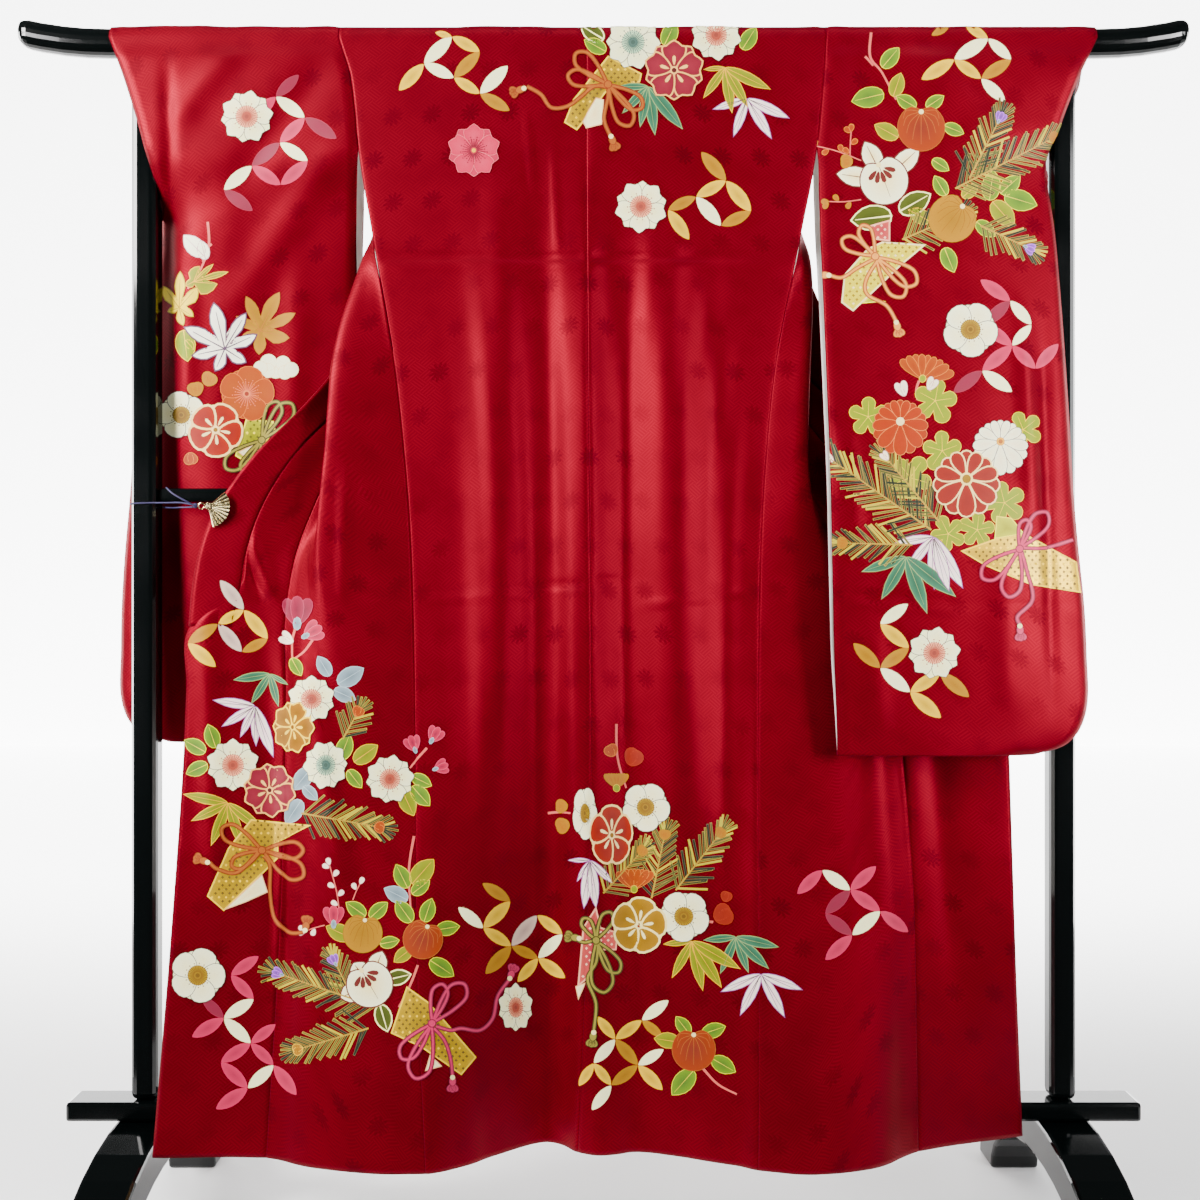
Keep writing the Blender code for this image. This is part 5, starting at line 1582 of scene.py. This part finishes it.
def draw_bloom(drawing, kind, x, y, radius, turn, level, squeeze=1.0):
    """A round flower: one or two rings of petals about its stamens."""
    style = BLOOMS[kind]
    first = len(drawing.shape.verts)
    start = math.radians(turn)
    step = 2 * math.pi / style["petals"]
    rise = radius * style["rise"]
    core = (x, y - rise)
    for ring in range(style["rings"]):
        front = ring == style["rings"] - 1
        fill = (style["rim"], style["heart"]) if front else (style["rear"], style["rear"])
        for k in range(style["petals"]):
            angle = start + step * (k + (0.0 if front else 0.5))
            reach = rim_reach(radius, rise, angle) * (1.0 if front else style["behind"])
            lift = PETAL_STEP * k if style["rings"] > 1 else 0.5 * (k % 2)
            lobe(drawing, core, angle, reach * 0.06, reach, reach * math.sin(step / 2) * style["width"],
                 (style["line"], *fill), level + RING_STEP * ring + lift, line=style["edge"],
                 belly=style["belly"], frill=style["frill"] * reach, sides=24 if style["frill"] else 16)
    top = level + RING_STEP * style["rings"] + 0.4
    if style["disc"]:
        drawing.dot(*core, radius * style["hub"], style["disc"], top, 18)
    for k in range(style["threads"]):
        angle = start + 2 * math.pi * k / style["threads"]
        reach = radius * style["reach"] * (1.0 if k % 2 or style["drops"] else 0.78)
        if style["drops"]:
            lobe(drawing, core, angle, radius * 0.16, reach, radius * 0.055,
                 (None, style["thread"], style["thread"]), top + 0.5, line=0.0, belly=0.5, sides=8)
        else:
            drawing.stroke([polar(core, radius * 0.10, angle), polar(core, reach, angle)], 0.9,
                           style["thread"], top + 0.5, tip=0.8)
            drawing.dot(*polar(core, reach + 1.5, angle), 0.7, style["thread"], top + 0.5, 5)
    drawing.dot(*core, radius * 0.13, style["ring"], top + 1.0, 12)
    drawing.dot(*core, radius * 0.08, style["core"], top + 1.4, 10)
    if squeeze != 1.0:
        drawing.shape.verts.ensure_lookup_table()
        for vert in drawing.shape.verts[first:]:
            vert.co.x = x + (vert.co.x - x) * squeeze


def draw_leaf(drawing, x0, y0, x1, y1, dye):
    """A leaf with a round base, a pointed tip and a midrib."""
    length, angle = between(x0, y0, x1, y1)
    edge, light, deep = LEAF_DYES[dye]
    bold = 1.5 if dye == "olive" else 0.7
    lobe(drawing, (x0, y0), angle, 0.0, length, length * LEAF_WIDTH, (edge, light, deep), LEAF_LEVEL,
         line=bold, belly=-0.12, point=0.95, tip=1.9, sides=16)
    drawing.stroke([(x0, y0), polar((x0, y0), length * 0.88, angle)], bold * 1.2, edge,
                   LEAF_LEVEL + VEIN_STEP, tip=VEIN_TIP)


def draw_bamboo(drawing, x, y, dye, tips):
    """Narrow pointed leaves fanned out from one joint of a twig."""
    edge, light, deep = LEAF_DYES[dye]
    for k, tip in enumerate(tips):
        length, angle = between(x, y, *tip)
        lobe(drawing, (x, y), angle, 0.0, length, length * BAMBOO_WIDTH, (edge, light, deep),
             BAMBOO_LEVEL + 0.2 * k, line=0.8, belly=-0.1, point=1.3, tip=2.3, sides=16)
        for off in ((-0.05, 0.05) if dye in VEIN_DYES else (0.0,)):
            drawing.stroke([polar((x, y), 2.0, angle), polar((x, y), length * 0.84, angle + off)], 0.7,
                           VEIN_DYES.get(dye, edge), BAMBOO_LEVEL + 1.4, tip=VEIN_TIP)


def draw_pine(drawing, x0, y0, x1, y1, needle, bud):
    """A broad pine spray: pale-edged needles on both sides of a twig, and its bud."""
    chance = random.Random(int(x0 * 7 + y0 * 13))
    length, angle = between(x0, y0, x1, y1)
    count = max(6, round(length / PINE_STEP))
    drawing.stroke([(x0, y0), (x1, y1)], 1.8, PINE_TWIG, PINE_LEVEL + 1.4, tip=0.5)
    sprigs = [((k + 0.5) / count, side * math.radians(chance.uniform(44, 58) - 16 * k / count))
              for k in range(count) for side in (-1, 1)]
    sprigs += [(1.0, spread) for spread in (-0.5, -0.25, 0.0, 0.25, 0.5)]
    for k, (share, lean) in enumerate(sprigs):
        at = polar((x0, y0), length * share, angle)
        way = angle + lean
        reach = needle * PINE_SPREAD * chance.uniform(0.85, 1.08) * (1 - 0.35 * share)
        edge, heart = PINE_DYES[chance.randrange(len(PINE_DYES))]
        level = PINE_LEVEL + 0.01 * k
        drawing.stroke([at, polar(at, reach, way)], 2.3, edge, level)
        drawing.stroke([polar(at, 1.0, way), polar(at, reach - 0.7, way)], 1.4, heart, level + 0.7)
    if bud:
        draw_bud(drawing, x1, y1, PINE_BUD, math.degrees(angle), bud, PINE_LEVEL + 2.1)


def star_outline(x, y, tips, deep, sharp, rounded):
    """A closed outline with a pointed or rounded lobe out to each tip."""
    reaches = [between(x, y, *tip) for tip in tips]
    outline = []
    for k, (reach, angle) in enumerate(reaches):
        later, way = reaches[(k + 1) % len(reaches)]
        gap = (way - angle) % (2 * math.pi)
        for step in range(STAR_STEPS):
            phase = step / STAR_STEPS
            slope = abs(math.cos(math.pi * phase)) if rounded else abs(1 - 2 * phase)
            size = reach if phase < 0.5 else later
            outline.append(polar((x, y), size * (deep + (1 - deep) * slope ** sharp), angle + gap * phase))
    return outline


def draw_star_leaf(drawing, x, y, dye, tips, deep, sharp, rounded, level, vein):
    """A maple or mum leaf with a vein to each of its tips."""
    edge, light, heart = LEAF_DYES[dye]
    ordered = sorted(tips, key=lambda tip: math.atan2(tip[1] - y, tip[0] - x))
    places = star_outline(x, y, ordered, deep, sharp, rounded)
    drawing.patch(places, light, heart, level, edge, vein)
    for tip in tips:
        length, angle = between(x, y, *tip)
        drawing.stroke([(x, y), polar((x, y), length * 0.78, angle)], vein,
                       VEIN_DYES.get(dye, edge), level + VEIN_STEP, tip=VEIN_TIP)


def draw_mandarin(drawing, x, y, radius, turn, dye, level=MANDARIN_LEVEL, ribs=4):
    """A mandarin fruit: round, with a cleft at its stalk and ribs that run from it."""
    line, rim, heart = FRUIT_DYES[dye]
    angle = math.radians(turn)
    outline = []
    for k in range(FRUIT_SIDES):
        way = 2 * math.pi * k / FRUIT_SIDES
        cleft = CLEFT * math.exp(-(min(way, 2 * math.pi - way) / CLEFT_REACH) ** 2)
        outline.append(polar((x, y), radius * (1 - cleft), angle + way))
    drawing.patch(outline, rim, heart, level, line, BOLD_LINE if dye == "white" else FINE_LINE)
    stalk = polar((x, y), radius * 0.66, angle)
    for k in range(-ribs, ribs + 1):
        end = polar(stalk, radius * (1.36 - 0.14 * abs(k)), angle + math.pi + k * 0.3)
        middle = polar(stalk, radius * 0.6, angle + math.pi + k * 0.42)
        drawing.stroke(smooth_path([stalk, middle, end], 3), 0.65, line, level + VEIN_STEP, tip=0.6)
    drawing.dot(*stalk, radius * 0.11, CREAM, level + 1.4)


def draw_fruit(drawing, x, y, radius, turn, tips):
    """A white mandarin with a brown line, its sepals and two or three pointed leaves."""
    angle = math.radians(turn)
    for tip in tips:
        length, way = between(x, y, *tip)
        lobe(drawing, (x, y), way, radius * 0.45, length, radius * 0.44,
             FRUIT_DYES["white"], FRUIT_LEVEL, line=1.4, belly=-0.1, point=0.9, tip=1.9, sides=16)
        drawing.stroke([polar((x, y), radius * 0.8, way), polar((x, y), length * 0.86, way)], 1.2,
                       BROWN_LINE, FRUIT_LEVEL + 0.8, tip=VEIN_TIP)
    draw_mandarin(drawing, x, y, radius, turn, "white", FRUIT_LEVEL + 1.1, 0)
    stalk = polar((x, y), radius * 0.58, angle)
    for k in range(-2, 3):
        lobe(drawing, stalk, angle + math.pi + k * 0.5, radius * 0.18, radius * 0.68, radius * 0.1,
             (None, BROWN_LINE, BROWN_LINE), FRUIT_LEVEL + 2.5, line=0.0, belly=0.4, sides=8)


def draw_bud(drawing, x, y, radius, turn, dye, level=BUD_LEVEL):
    """A bud: a cup of petals on its calyx, or a plain round one on a plum twig."""
    angle = math.radians(turn)
    cup = dye in ("pink", "rose", "lilac")
    base = polar((x, y), -radius * 0.9, angle)
    for spread in (-0.42, 0.42, 0.0) if cup else (-0.25, 0.25):
        half = radius * (0.42 if cup or dye == "white" else 0.72)
        lobe(drawing, base, angle + spread, radius * 0.1, radius * 1.9, half, BUD_DYES[dye],
             level + (0.5 if spread == 0.0 else 0.0), line=FINE_LINE, belly=0.25)
    if cup:
        lobe(drawing, base, angle, -radius * 0.25, radius * 0.6, radius * 0.26,
             LEAF_DYES["grey"], level + VEIN_STEP, line=0.4, sides=8)


def draw_spray(drawing, path, dye):
    """A stalk with small drop-shaped buds on both sides."""
    line = smooth_path(path, 6)
    drawing.stroke(line, 1.2, STALK_DYE, LEAF_LEVEL)
    reach = 0.0
    side = 1
    for (x0, y0), (x1, y1) in zip(line, line[1:]):
        length, angle = between(x0, y0, x1, y1)
        reach += length
        if reach >= SPRAY_GAP:
            reach = 0.0
            side = -side
            lobe(drawing, (x1, y1), angle + side * SPRAY_LEAN, 1.0, 1.0 + SPRAY_BUD, SPRAY_HALF,
                 BUD_DYES[dye], SPRAY_LEVEL, line=FINE_LINE, belly=0.3)
    (x0, y0), (x1, y1) = line[-2:]
    lobe(drawing, (x1, y1), between(x0, y0, x1, y1)[1], 0.0, SPRAY_BUD, SPRAY_HALF,
         BUD_DYES[dye], SPRAY_LEVEL, line=FINE_LINE, belly=0.3)


def draw_cord(drawing, points, dye, level=CORD_LEVEL):
    """A silk cord: an edge colour with a lighter middle."""
    edge, middle = CORD_DYES[dye]
    path = smooth_path(points, 7)
    drawing.stroke(path, CORD_WIDTH, edge, level)
    drawing.stroke(path, CORD_WIDTH / 2, middle, level + 0.7)


def draw_tassel(drawing, x, y, turn, dye):
    """A tassel: its bound head, then the tied silk that spreads in three."""
    edge, middle = CORD_DYES[dye]
    angle = math.radians(turn)
    for spread in (-0.5, 0.5, 0.0):
        lobe(drawing, polar((x, y), 6.0, angle), angle + spread, -2.0, 9.5, 3.0, (edge, middle, edge),
             TASSEL_LEVEL, line=0.6, belly=0.5)
    lobe(drawing, (x, y), angle, -1.0, 9.0, 3.8, (edge, middle, middle), TASSEL_LEVEL + 0.8, line=0.7)
    drawing.dot(x, y, 2.6, CREAM, TASSEL_LEVEL + 1.6)


def draw_bow(drawing, x, y, dye, loops):
    """A cord bow: a long loop from its knot to each place."""
    edge, middle = CORD_DYES[dye]
    for k, tip in enumerate(loops):
        length, angle = between(x, y, *tip)
        loop = [polar((x, y), 1.0, angle)]
        for along, across in BOW_LOOP:
            place = polar((x, y), length * along, angle)
            loop.append(polar(place, length * across, angle + math.pi / 2))
        loop.append(polar((x, y), 1.0, angle))
        draw_cord(drawing, loop, dye, CORD_LEVEL + 0.2 * k)
    drawing.patch([polar((x, y), CORD_WIDTH * 1.05, k * math.pi / 5) for k in range(10)],
                  middle, middle, KNOT_LEVEL, edge, 1.0)


def inside(outline, x, y):
    """Whether a place lies within an outline."""
    odd = False
    for (x0, y0), (x1, y1) in zip(outline, list(outline[1:]) + [outline[0]]):
        if (y0 > y) != (y1 > y) and x < x0 + (y - y0) * (x1 - x0) / (y1 - y0):
            odd = not odd
    return odd


def draw_paper(drawing, dye, outline, fold=(), turned="white"):
    """A folded paper with a pale edge, small woven diamonds and a turned-back fold."""
    edge, rim, heart, check = PAPER_DYES[dye]
    drawing.patch(outline, rim, heart, PAPER_LEVEL, edge, 1.6, foil=1)
    left = min(place[0] for place in outline)
    top = min(place[1] for place in outline)
    right = max(place[0] for place in outline)
    bottom = max(place[1] for place in outline)
    for row in range(int((bottom - top) / CHECK_ROW)):
        y = top + CHECK_ROW * (row + 0.5)
        for k in range(int((right - left) / CHECK_STEP)):
            x = left + CHECK_STEP * (k + 0.25 + 0.5 * (row % 2))
            if all(inside(outline, x + off, y) for off in (-CHECK_EDGE, CHECK_EDGE)):
                drawing.dot(x, y, CHECK_SIZE, edge if row % 4 == 3 else check, PAPER_LEVEL + VEIN_STEP, 4)
    if fold:
        fold_edge, fold_rim, fold_heart, _ = PAPER_DYES[turned]
        drawing.patch(fold, fold_rim, fold_heart, PAPER_LEVEL + 1.1, fold_edge, 1.0)


def draw_half_mum(drawing, x, y, dye, tips):
    """A mum seen from its side: a fan of petals over its green cup."""
    first, last = between(x, y, *tips[0]), between(x, y, *tips[1])
    for k in range(HALF_MUM_PETALS):
        share = k / (HALF_MUM_PETALS - 1)
        angle = first[1] + (last[1] - first[1]) * share
        reach = (first[0] + (last[0] - first[0]) * share) * (1.0 - 0.18 * math.sin(math.pi * share))
        lobe(drawing, (x, y), angle, 2.0, reach, reach * 0.15, BUD_DYES[dye], FRUIT_LEVEL + 0.1 * (k % 2),
             line=FINE_LINE, belly=0.45)
    lobe(drawing, (x, y), (first[1] + last[1]) / 2, -3.0, 5.0, 3.6, LEAF_DYES["lime"],
         FRUIT_LEVEL + 1.0, line=FINE_LINE)


def draw_stem(drawing, path):
    drawing.stroke(smooth_path(path, 5), STEM_WIDTH, STALK_DYE, STEM_LEVEL, tip=0.7)


def draw_cloud(drawing, x, y, length):
    """A small white cloud: a row of round lobes with one shared fill."""
    for off, drop, size in CLOUD_LOBES:
        places = [polar((x + off * length, y + drop * length), size * length, k * math.pi / 8)
                  for k in range(16)]
        drawing.patch(places, WHITE_DYE, WHITE_DYE, CLOUD_LEVEL + abs(off), CREAM, FINE_LINE)


def draw_basting(drawing, x0, y0, x1, y1):
    """White basting thread that runs along an edge in even dashes."""
    length, angle = between(x0, y0, x1, y1)
    for k in range(int(length / BASTING_STEP)):
        start = polar((x0, y0), k * BASTING_STEP, angle)
        drawing.stroke([start, polar(start, BASTING_DASH, angle)], 1.0, WHITE_DYE, STEM_LEVEL)


def draw_maple(drawing, x, y, dye, tips, level=MAPLE_LEVEL):
    draw_star_leaf(drawing, x, y, dye, tips, 0.30, 0.62, False, level, 1.4 if dye == "plum" else 0.9)


def draw_mum_leaf(drawing, x, y, radius, turn):
    tips = [polar((x, y), radius * (1.0 if k != 2 else 1.1), math.radians(turn + 72 * k)) for k in range(5)]
    draw_star_leaf(drawing, x, y, "lime", tips, 0.5, 0.55, True, MUM_LEAF_LEVEL, 0.6)


def draw_cluster(cloth):
    """All motifs of one part of the cloth, from their tables."""
    drawing = Drawing()
    for draw, columns, table in (
        (draw_petal, PETAL_COLUMNS, PETALS), (draw_stem, STEM_COLUMNS, STEMS),
        (draw_leaf, LEAF_COLUMNS, LEAVES), (draw_bamboo, BAMBOO_COLUMNS, BAMBOOS),
        (draw_pine, PINE_COLUMNS, PINES), (draw_spray, SPRAY_COLUMNS, SPRAYS),
        (draw_maple, MAPLE_COLUMNS, MAPLES), (draw_mum_leaf, MUM_LEAF_COLUMNS, MUM_LEAVES),
        (draw_half_mum, HALF_MUM_COLUMNS, HALF_MUMS), (draw_cloud, CLOUD_COLUMNS, CLOUDS),
        (draw_mandarin, MANDARIN_COLUMNS, MANDARINS), (draw_fruit, FRUIT_COLUMNS, FRUITS),
        (draw_bud, BUD_COLUMNS, BUDS), (draw_paper, PAPER_COLUMNS, PAPERS),
        (draw_cord, CORD_COLUMNS, CORDS), (draw_tassel, TASSEL_COLUMNS, TASSELS),
        (draw_bow, BOW_COLUMNS, BOWS), (draw_bloom, FLOWER_COLUMNS, FLOWERS),
        (draw_basting, LINE_COLUMNS, BASTING),
    ):
        for row in table.get(cloth, ()):
            draw(drawing, **dict(zip(columns, row)))
    return drawing


# Laying a drawing on the cloth

class Ground:
    """The outer surface of some pieces of cloth, as a smooth surface to lay motifs on."""

    def __init__(self, pieces, half=None):
        self.points = []
        self.normals = []
        self.walls = []
        self.faces = []
        for piece in pieces:
            mesh = piece.data
            start = len(self.points)
            self.points += [vert.co.copy() for vert in mesh.vertices]
            self.normals += [vert.normal.copy() for vert in mesh.vertices]
            self.walls += [piece.modifiers["Wall"].thickness / 2] * len(mesh.vertices)
            middle = len(mesh.vertices) / 2
            for face in mesh.polygons:
                if half is None or all((index < middle) == (half == "near") for index in face.vertices):
                    self.faces.append([start + index for index in face.vertices])
        self.tree = BVHTree.FromPolygons(self.points, self.faces)

    def place(self, x, y, level, eye):
        """Where a pixel seen from an eye lies on the cloth, and the normal there."""
        target = Vector((EYE.x + (x - PICTURE_CENTRE) * PIXEL, 0.0, EYE.z + (PICTURE_CENTRE - y) * PIXEL))
        way = (target - eye).normalized()
        hit, _, index, _ = self.tree.ray_cast(eye, way)
        if hit is None:
            return None
        corners = self.faces[index]
        shares = poly_3d_calc([self.points[i] for i in corners], hit)
        normal = Vector()
        smooth = Vector()
        for i, share in zip(corners, shares):
            normal += self.normals[i] * share
            off = (hit - self.points[i]).dot(self.normals[i])
            smooth += (hit - self.normals[i] * off) * share
        normal.normalize()
        if normal.dot(way) > -GRAZING:
            return None
        lift = self.walls[corners[0]] + MOTIF_LIFT + LEVEL_STEP * level
        return hit.lerp(smooth, SMOOTH_SHARE) + normal * lift, normal


def divide(shape, longest):
    """Cuts edges until none is longer than the given length."""
    for _ in range(CUT_ROUNDS):
        cut = [edge for edge in shape.edges if edge.calc_length() > longest]
        if not cut:
            break
        bmesh.ops.subdivide_edges(shape, edges=cut, cuts=1)
        wide = [face for face in shape.faces if len(face.verts) > 3]
        bmesh.ops.triangulate(shape, faces=wide)


def last_place(ground, inside, outside, level, eye):
    """The cloth's place nearest to a missed pixel, on the way from one that hits."""
    found = ground.place(*inside, level, eye)
    low, high = 0.0, 1.0
    for _ in range(EDGE_ROUNDS):
        middle = (low + high) / 2
        pixel = [a + (b - a) * middle for a, b in zip(inside, outside)]
        tried = ground.place(*pixel, level, eye)
        if tried is None:
            high = middle
        else:
            low, found = middle, tried
    return found


def lay(drawing, name, ground, eye):
    """Lays a drawing on the cloth as seen from an eye, and puts it in the scene."""
    shape = drawing.shape.copy()
    level = shape.verts.layers.float.get("level")
    divide(shape, MOTIF_PITCH)
    pixels = {vert: (vert.co.x, vert.co.y) for vert in shape.verts}
    laid = {vert: ground.place(*pixels[vert], vert[level], eye) for vert in shape.verts}
    missed = [face for face in shape.faces if all(laid[vert] is None for vert in face.verts)]
    bmesh.ops.delete(shape, geom=missed, context="FACES")
    for vert in shape.verts:
        if laid[vert] is None:
            hits = [edge.other_vert(vert) for edge in vert.link_edges]
            hits = [other for other in hits if laid[other] is not None and pixels[other] != pixels[vert]]
            if hits:
                laid[vert] = last_place(ground, pixels[hits[0]], pixels[vert], vert[level], eye)
    lost = [vert for vert in shape.verts if laid[vert] is None]
    for vert in lost:
        del laid[vert]
    bmesh.ops.delete(shape, geom=lost, context="VERTS")
    for vert in shape.verts:
        vert.co = laid[vert][0]
    torn = [face for face in shape.faces if max(edge.calc_length() for edge in face.edges) > TORN_EDGE
            or face.calc_area() < SMALLEST_FACE]
    bmesh.ops.delete(shape, geom=torn, context="FACES")
    shape.normal_update()
    turned = [face for face in shape.faces if face.normal.dot(laid[face.verts[0]][1]) < 0]
    bmesh.ops.reverse_faces(shape, faces=turned)
    for face in shape.faces:
        face.smooth = True
    normals = [laid[vert][1] for vert in shape.verts]
    piece = finished(name, shape, DYED, FOIL)
    piece.data.normals_split_custom_set_from_vertices(normals)
    link(piece, "silk")


# Creases of the cloth, in the picture's pixels: from, to, reach, and rise in metres
Crease = namedtuple("Crease", "x0 y0 x1 y1 reach rise")
BODY_CREASES = [
    (330, 257, 800, 257, 4.0, -0.0014), (330, 266, 800, 266, 4.0, 0.001), (553, 148, 558, 255, 3.0, 0.0012),
    (526, 110, 535, 200, 3.0, 0.001), (380, 258, 806, 257, 1.6, -0.0006),
    (230, 530, 262, 600, 4.0, -0.0035), (244, 520, 276, 600, 6.0, 0.003), (345, 470, 342, 600, 5.0, 0.002),
    (350, 590, 410, 605, 4.0, -0.0012), (500, 590, 640, 578, 3.0, -0.0012),
    (420, 600, 560, 592, 3.0, 0.001), (640, 606, 760, 590, 3.0, 0.0012), (300, 640, 345, 900, 14.0, 0.004),
    (262, 620, 282, 1000, 16.0, -0.004), (205, 560, 215, 900, 12.0, 0.003),
    (870, 640, 900, 1000, 16.0, 0.0035), (925, 660, 960, 1000, 14.0, -0.0035),
]
LEFT_SLEEVE_CREASES = [
    (240, 40, 170, 130, 14.0, 0.003), (330, 60, 230, 190, 18.0, -0.003), (350, 130, 220, 330, 18.0, 0.0028),
    (168, 60, 172, 300, 6.0, -0.0025), (190, 280, 186, 420, 10.0, 0.003),
    (262, 420, 250, 560, 14.0, -0.0028), (300, 250, 290, 470, 16.0, 0.0024),
]
RIGHT_SLEEVE_CREASES = [
    (831, 593, 969, 604, 3.5, -0.0016), (969, 604, 1078, 606, 3.5, -0.0012),
    (831, 600, 969, 611, 4.0, 0.0012), (841, 370, 896, 382, 2.6, -0.0013),
    (850, 445, 900, 452, 3.0, -0.001), (846, 60, 930, 160, 16.0, -0.0028),
    (900, 40, 1010, 150, 18.0, 0.0028), (1020, 300, 1032, 520, 8.0, 0.003),
    (1042, 320, 1052, 700, 6.0, -0.0026), (846, 420, 856, 560, 10.0, 0.0024),
    (870, 620, 878, 740, 14.0, 0.0026), (1004, 560, 1010, 720, 16.0, 0.0022),
]

SILK = figured_silk()
LINING = lining_silk("lining_silk", 0.0)
SLEEVE_LINING = lining_silk("sleeve_lining_silk", SLEEVE_FACING)
BRAID = braid()
LACQUER = lacquer()
GILT = gilt()
DYED = dyed_finish("dyed_motif", 0.5, 0.0, 1600.0)
FOIL = dyed_finish("gold_foil_motif", 0.36, 0.35, 900.0)

make_camera()
make_cord("cord_round_post", CORD_LOOP, "cord_loop", BRAID)
make_cord("cord_end", CORD_TAIL, "cord_tail", BRAID)

CLOTH = {}
for side in ("left", "right"):
    flip = side == "left"
    CLOTH["body_" + side] = make_cloth(
        "body_" + side, body_rows(side), WALL, BODY_CREASES, flip,
        near=len(BODY_ROWS) + WRAP_STEPS // 2)
    CLOTH["okumi_" + side] = make_cloth(
        "okumi_" + side, okumi_rows(side), WALL, BODY_CREASES, flip)
    creases = LEFT_SLEEVE_CREASES if side == "left" else RIGHT_SLEEVE_CREASES
    CLOTH["sleeve_" + side] = make_cloth(
        "sleeve_" + side, sleeve_rows(side), WALL, creases, flip,
        near=len(SLEEVE_ROWS) + WRAP_STEPS // 2, cuff_row=CUFF_ROWS[side])
CLOTH["collar"] = make_cloth(
    "collar", collar_rows(), COLLAR_WALL, [], True)


REAR_EYE = Vector((EYE.x, -EYE.y, EYE.z))
BODY_CLOTH = [CLOTH[name] for name in ("body_left", "body_right", "okumi_left", "okumi_right", "collar")]
for cloth in ("body", "sleeve_left", "sleeve_right"):
    cluster = draw_cluster(cloth)
    pieces = BODY_CLOTH if cloth == "body" else [CLOTH[cloth]]
    for part, eye, half in (("", EYE, "near"), ("_rear", REAR_EYE, "far")):
        ground = Ground(pieces, None if cloth == "body" else half)
        lay(cluster, "motifs_" + cloth + part, ground, eye)
    cluster.shape.free()


def dress(material, *names):
    """Gives solids of the stand or the clip their finish."""
    for name in names:
        for holder in NODES[name].material_slots:
            holder.material = material


dress(LACQUER, "top_rail", "post_left", "post_right", "crossbar", "base_plank",
      "foot_left", "foot_right")
dress(GILT, "clip_fan", "clip_hub", "clip_jaw", "clip_ring")
dress(BRAID, "cord_knot")


# Studio

def make_screen(name, profile, glow):
    """A plain sheet of the studio: its floor, or the bright backdrop behind it."""
    shape = bmesh.new()
    start = [shape.verts.new((-FLOOR_WIDTH / 2, y, z)) for y, z in profile]
    pulled = bmesh.ops.extrude_edge_only(shape, edges=[shape.edges.new(start)])["geom"]
    moved = [item for item in pulled if isinstance(item, bmesh.types.BMVert)]
    bmesh.ops.translate(shape, verts=moved, vec=(FLOOR_WIDTH, 0, 0))
    bmesh.ops.recalc_face_normals(shape, faces=shape.faces[:])
    screen = finished(name, shape, floor_finish(name + "_white", glow, *FLOOR_GLOW_RUN))
    bpy.context.scene.collection.objects.link(screen)


def make_light(name, place, target, width, height, power, spread, colour):
    light = bpy.data.lights.new(name, "AREA")
    light.shape = "RECTANGLE"
    light.size = width
    light.size_y = height
    light.energy = power
    light.spread = spread
    light.color = colour
    lamp = bpy.data.objects.new(name, light)
    lamp.location = place
    lamp.rotation_euler = (Vector(target) - Vector(place)).to_track_quat("-Z", "Y").to_euler()
    bpy.context.scene.collection.objects.link(lamp)


def make_world():
    world = bpy.data.worlds.new("studio")
    world.use_nodes = True
    sky = world.node_tree.nodes["Background"]
    sky.inputs["Color"].default_value = (1.0, 1.0, 1.0, 1.0)
    sky.inputs["Strength"].default_value = WORLD_STRENGTH
    bpy.context.scene.world = world


make_screen("studio_floor", FLOOR_PROFILE, BACKDROP_GLOW)
make_screen("studio_backdrop", BACKDROP_PROFILE, BACKDROP_GLOW)
make_world()
for row in LIGHTS:
    make_light(**dict(zip(LIGHT_COLUMNS, row)))
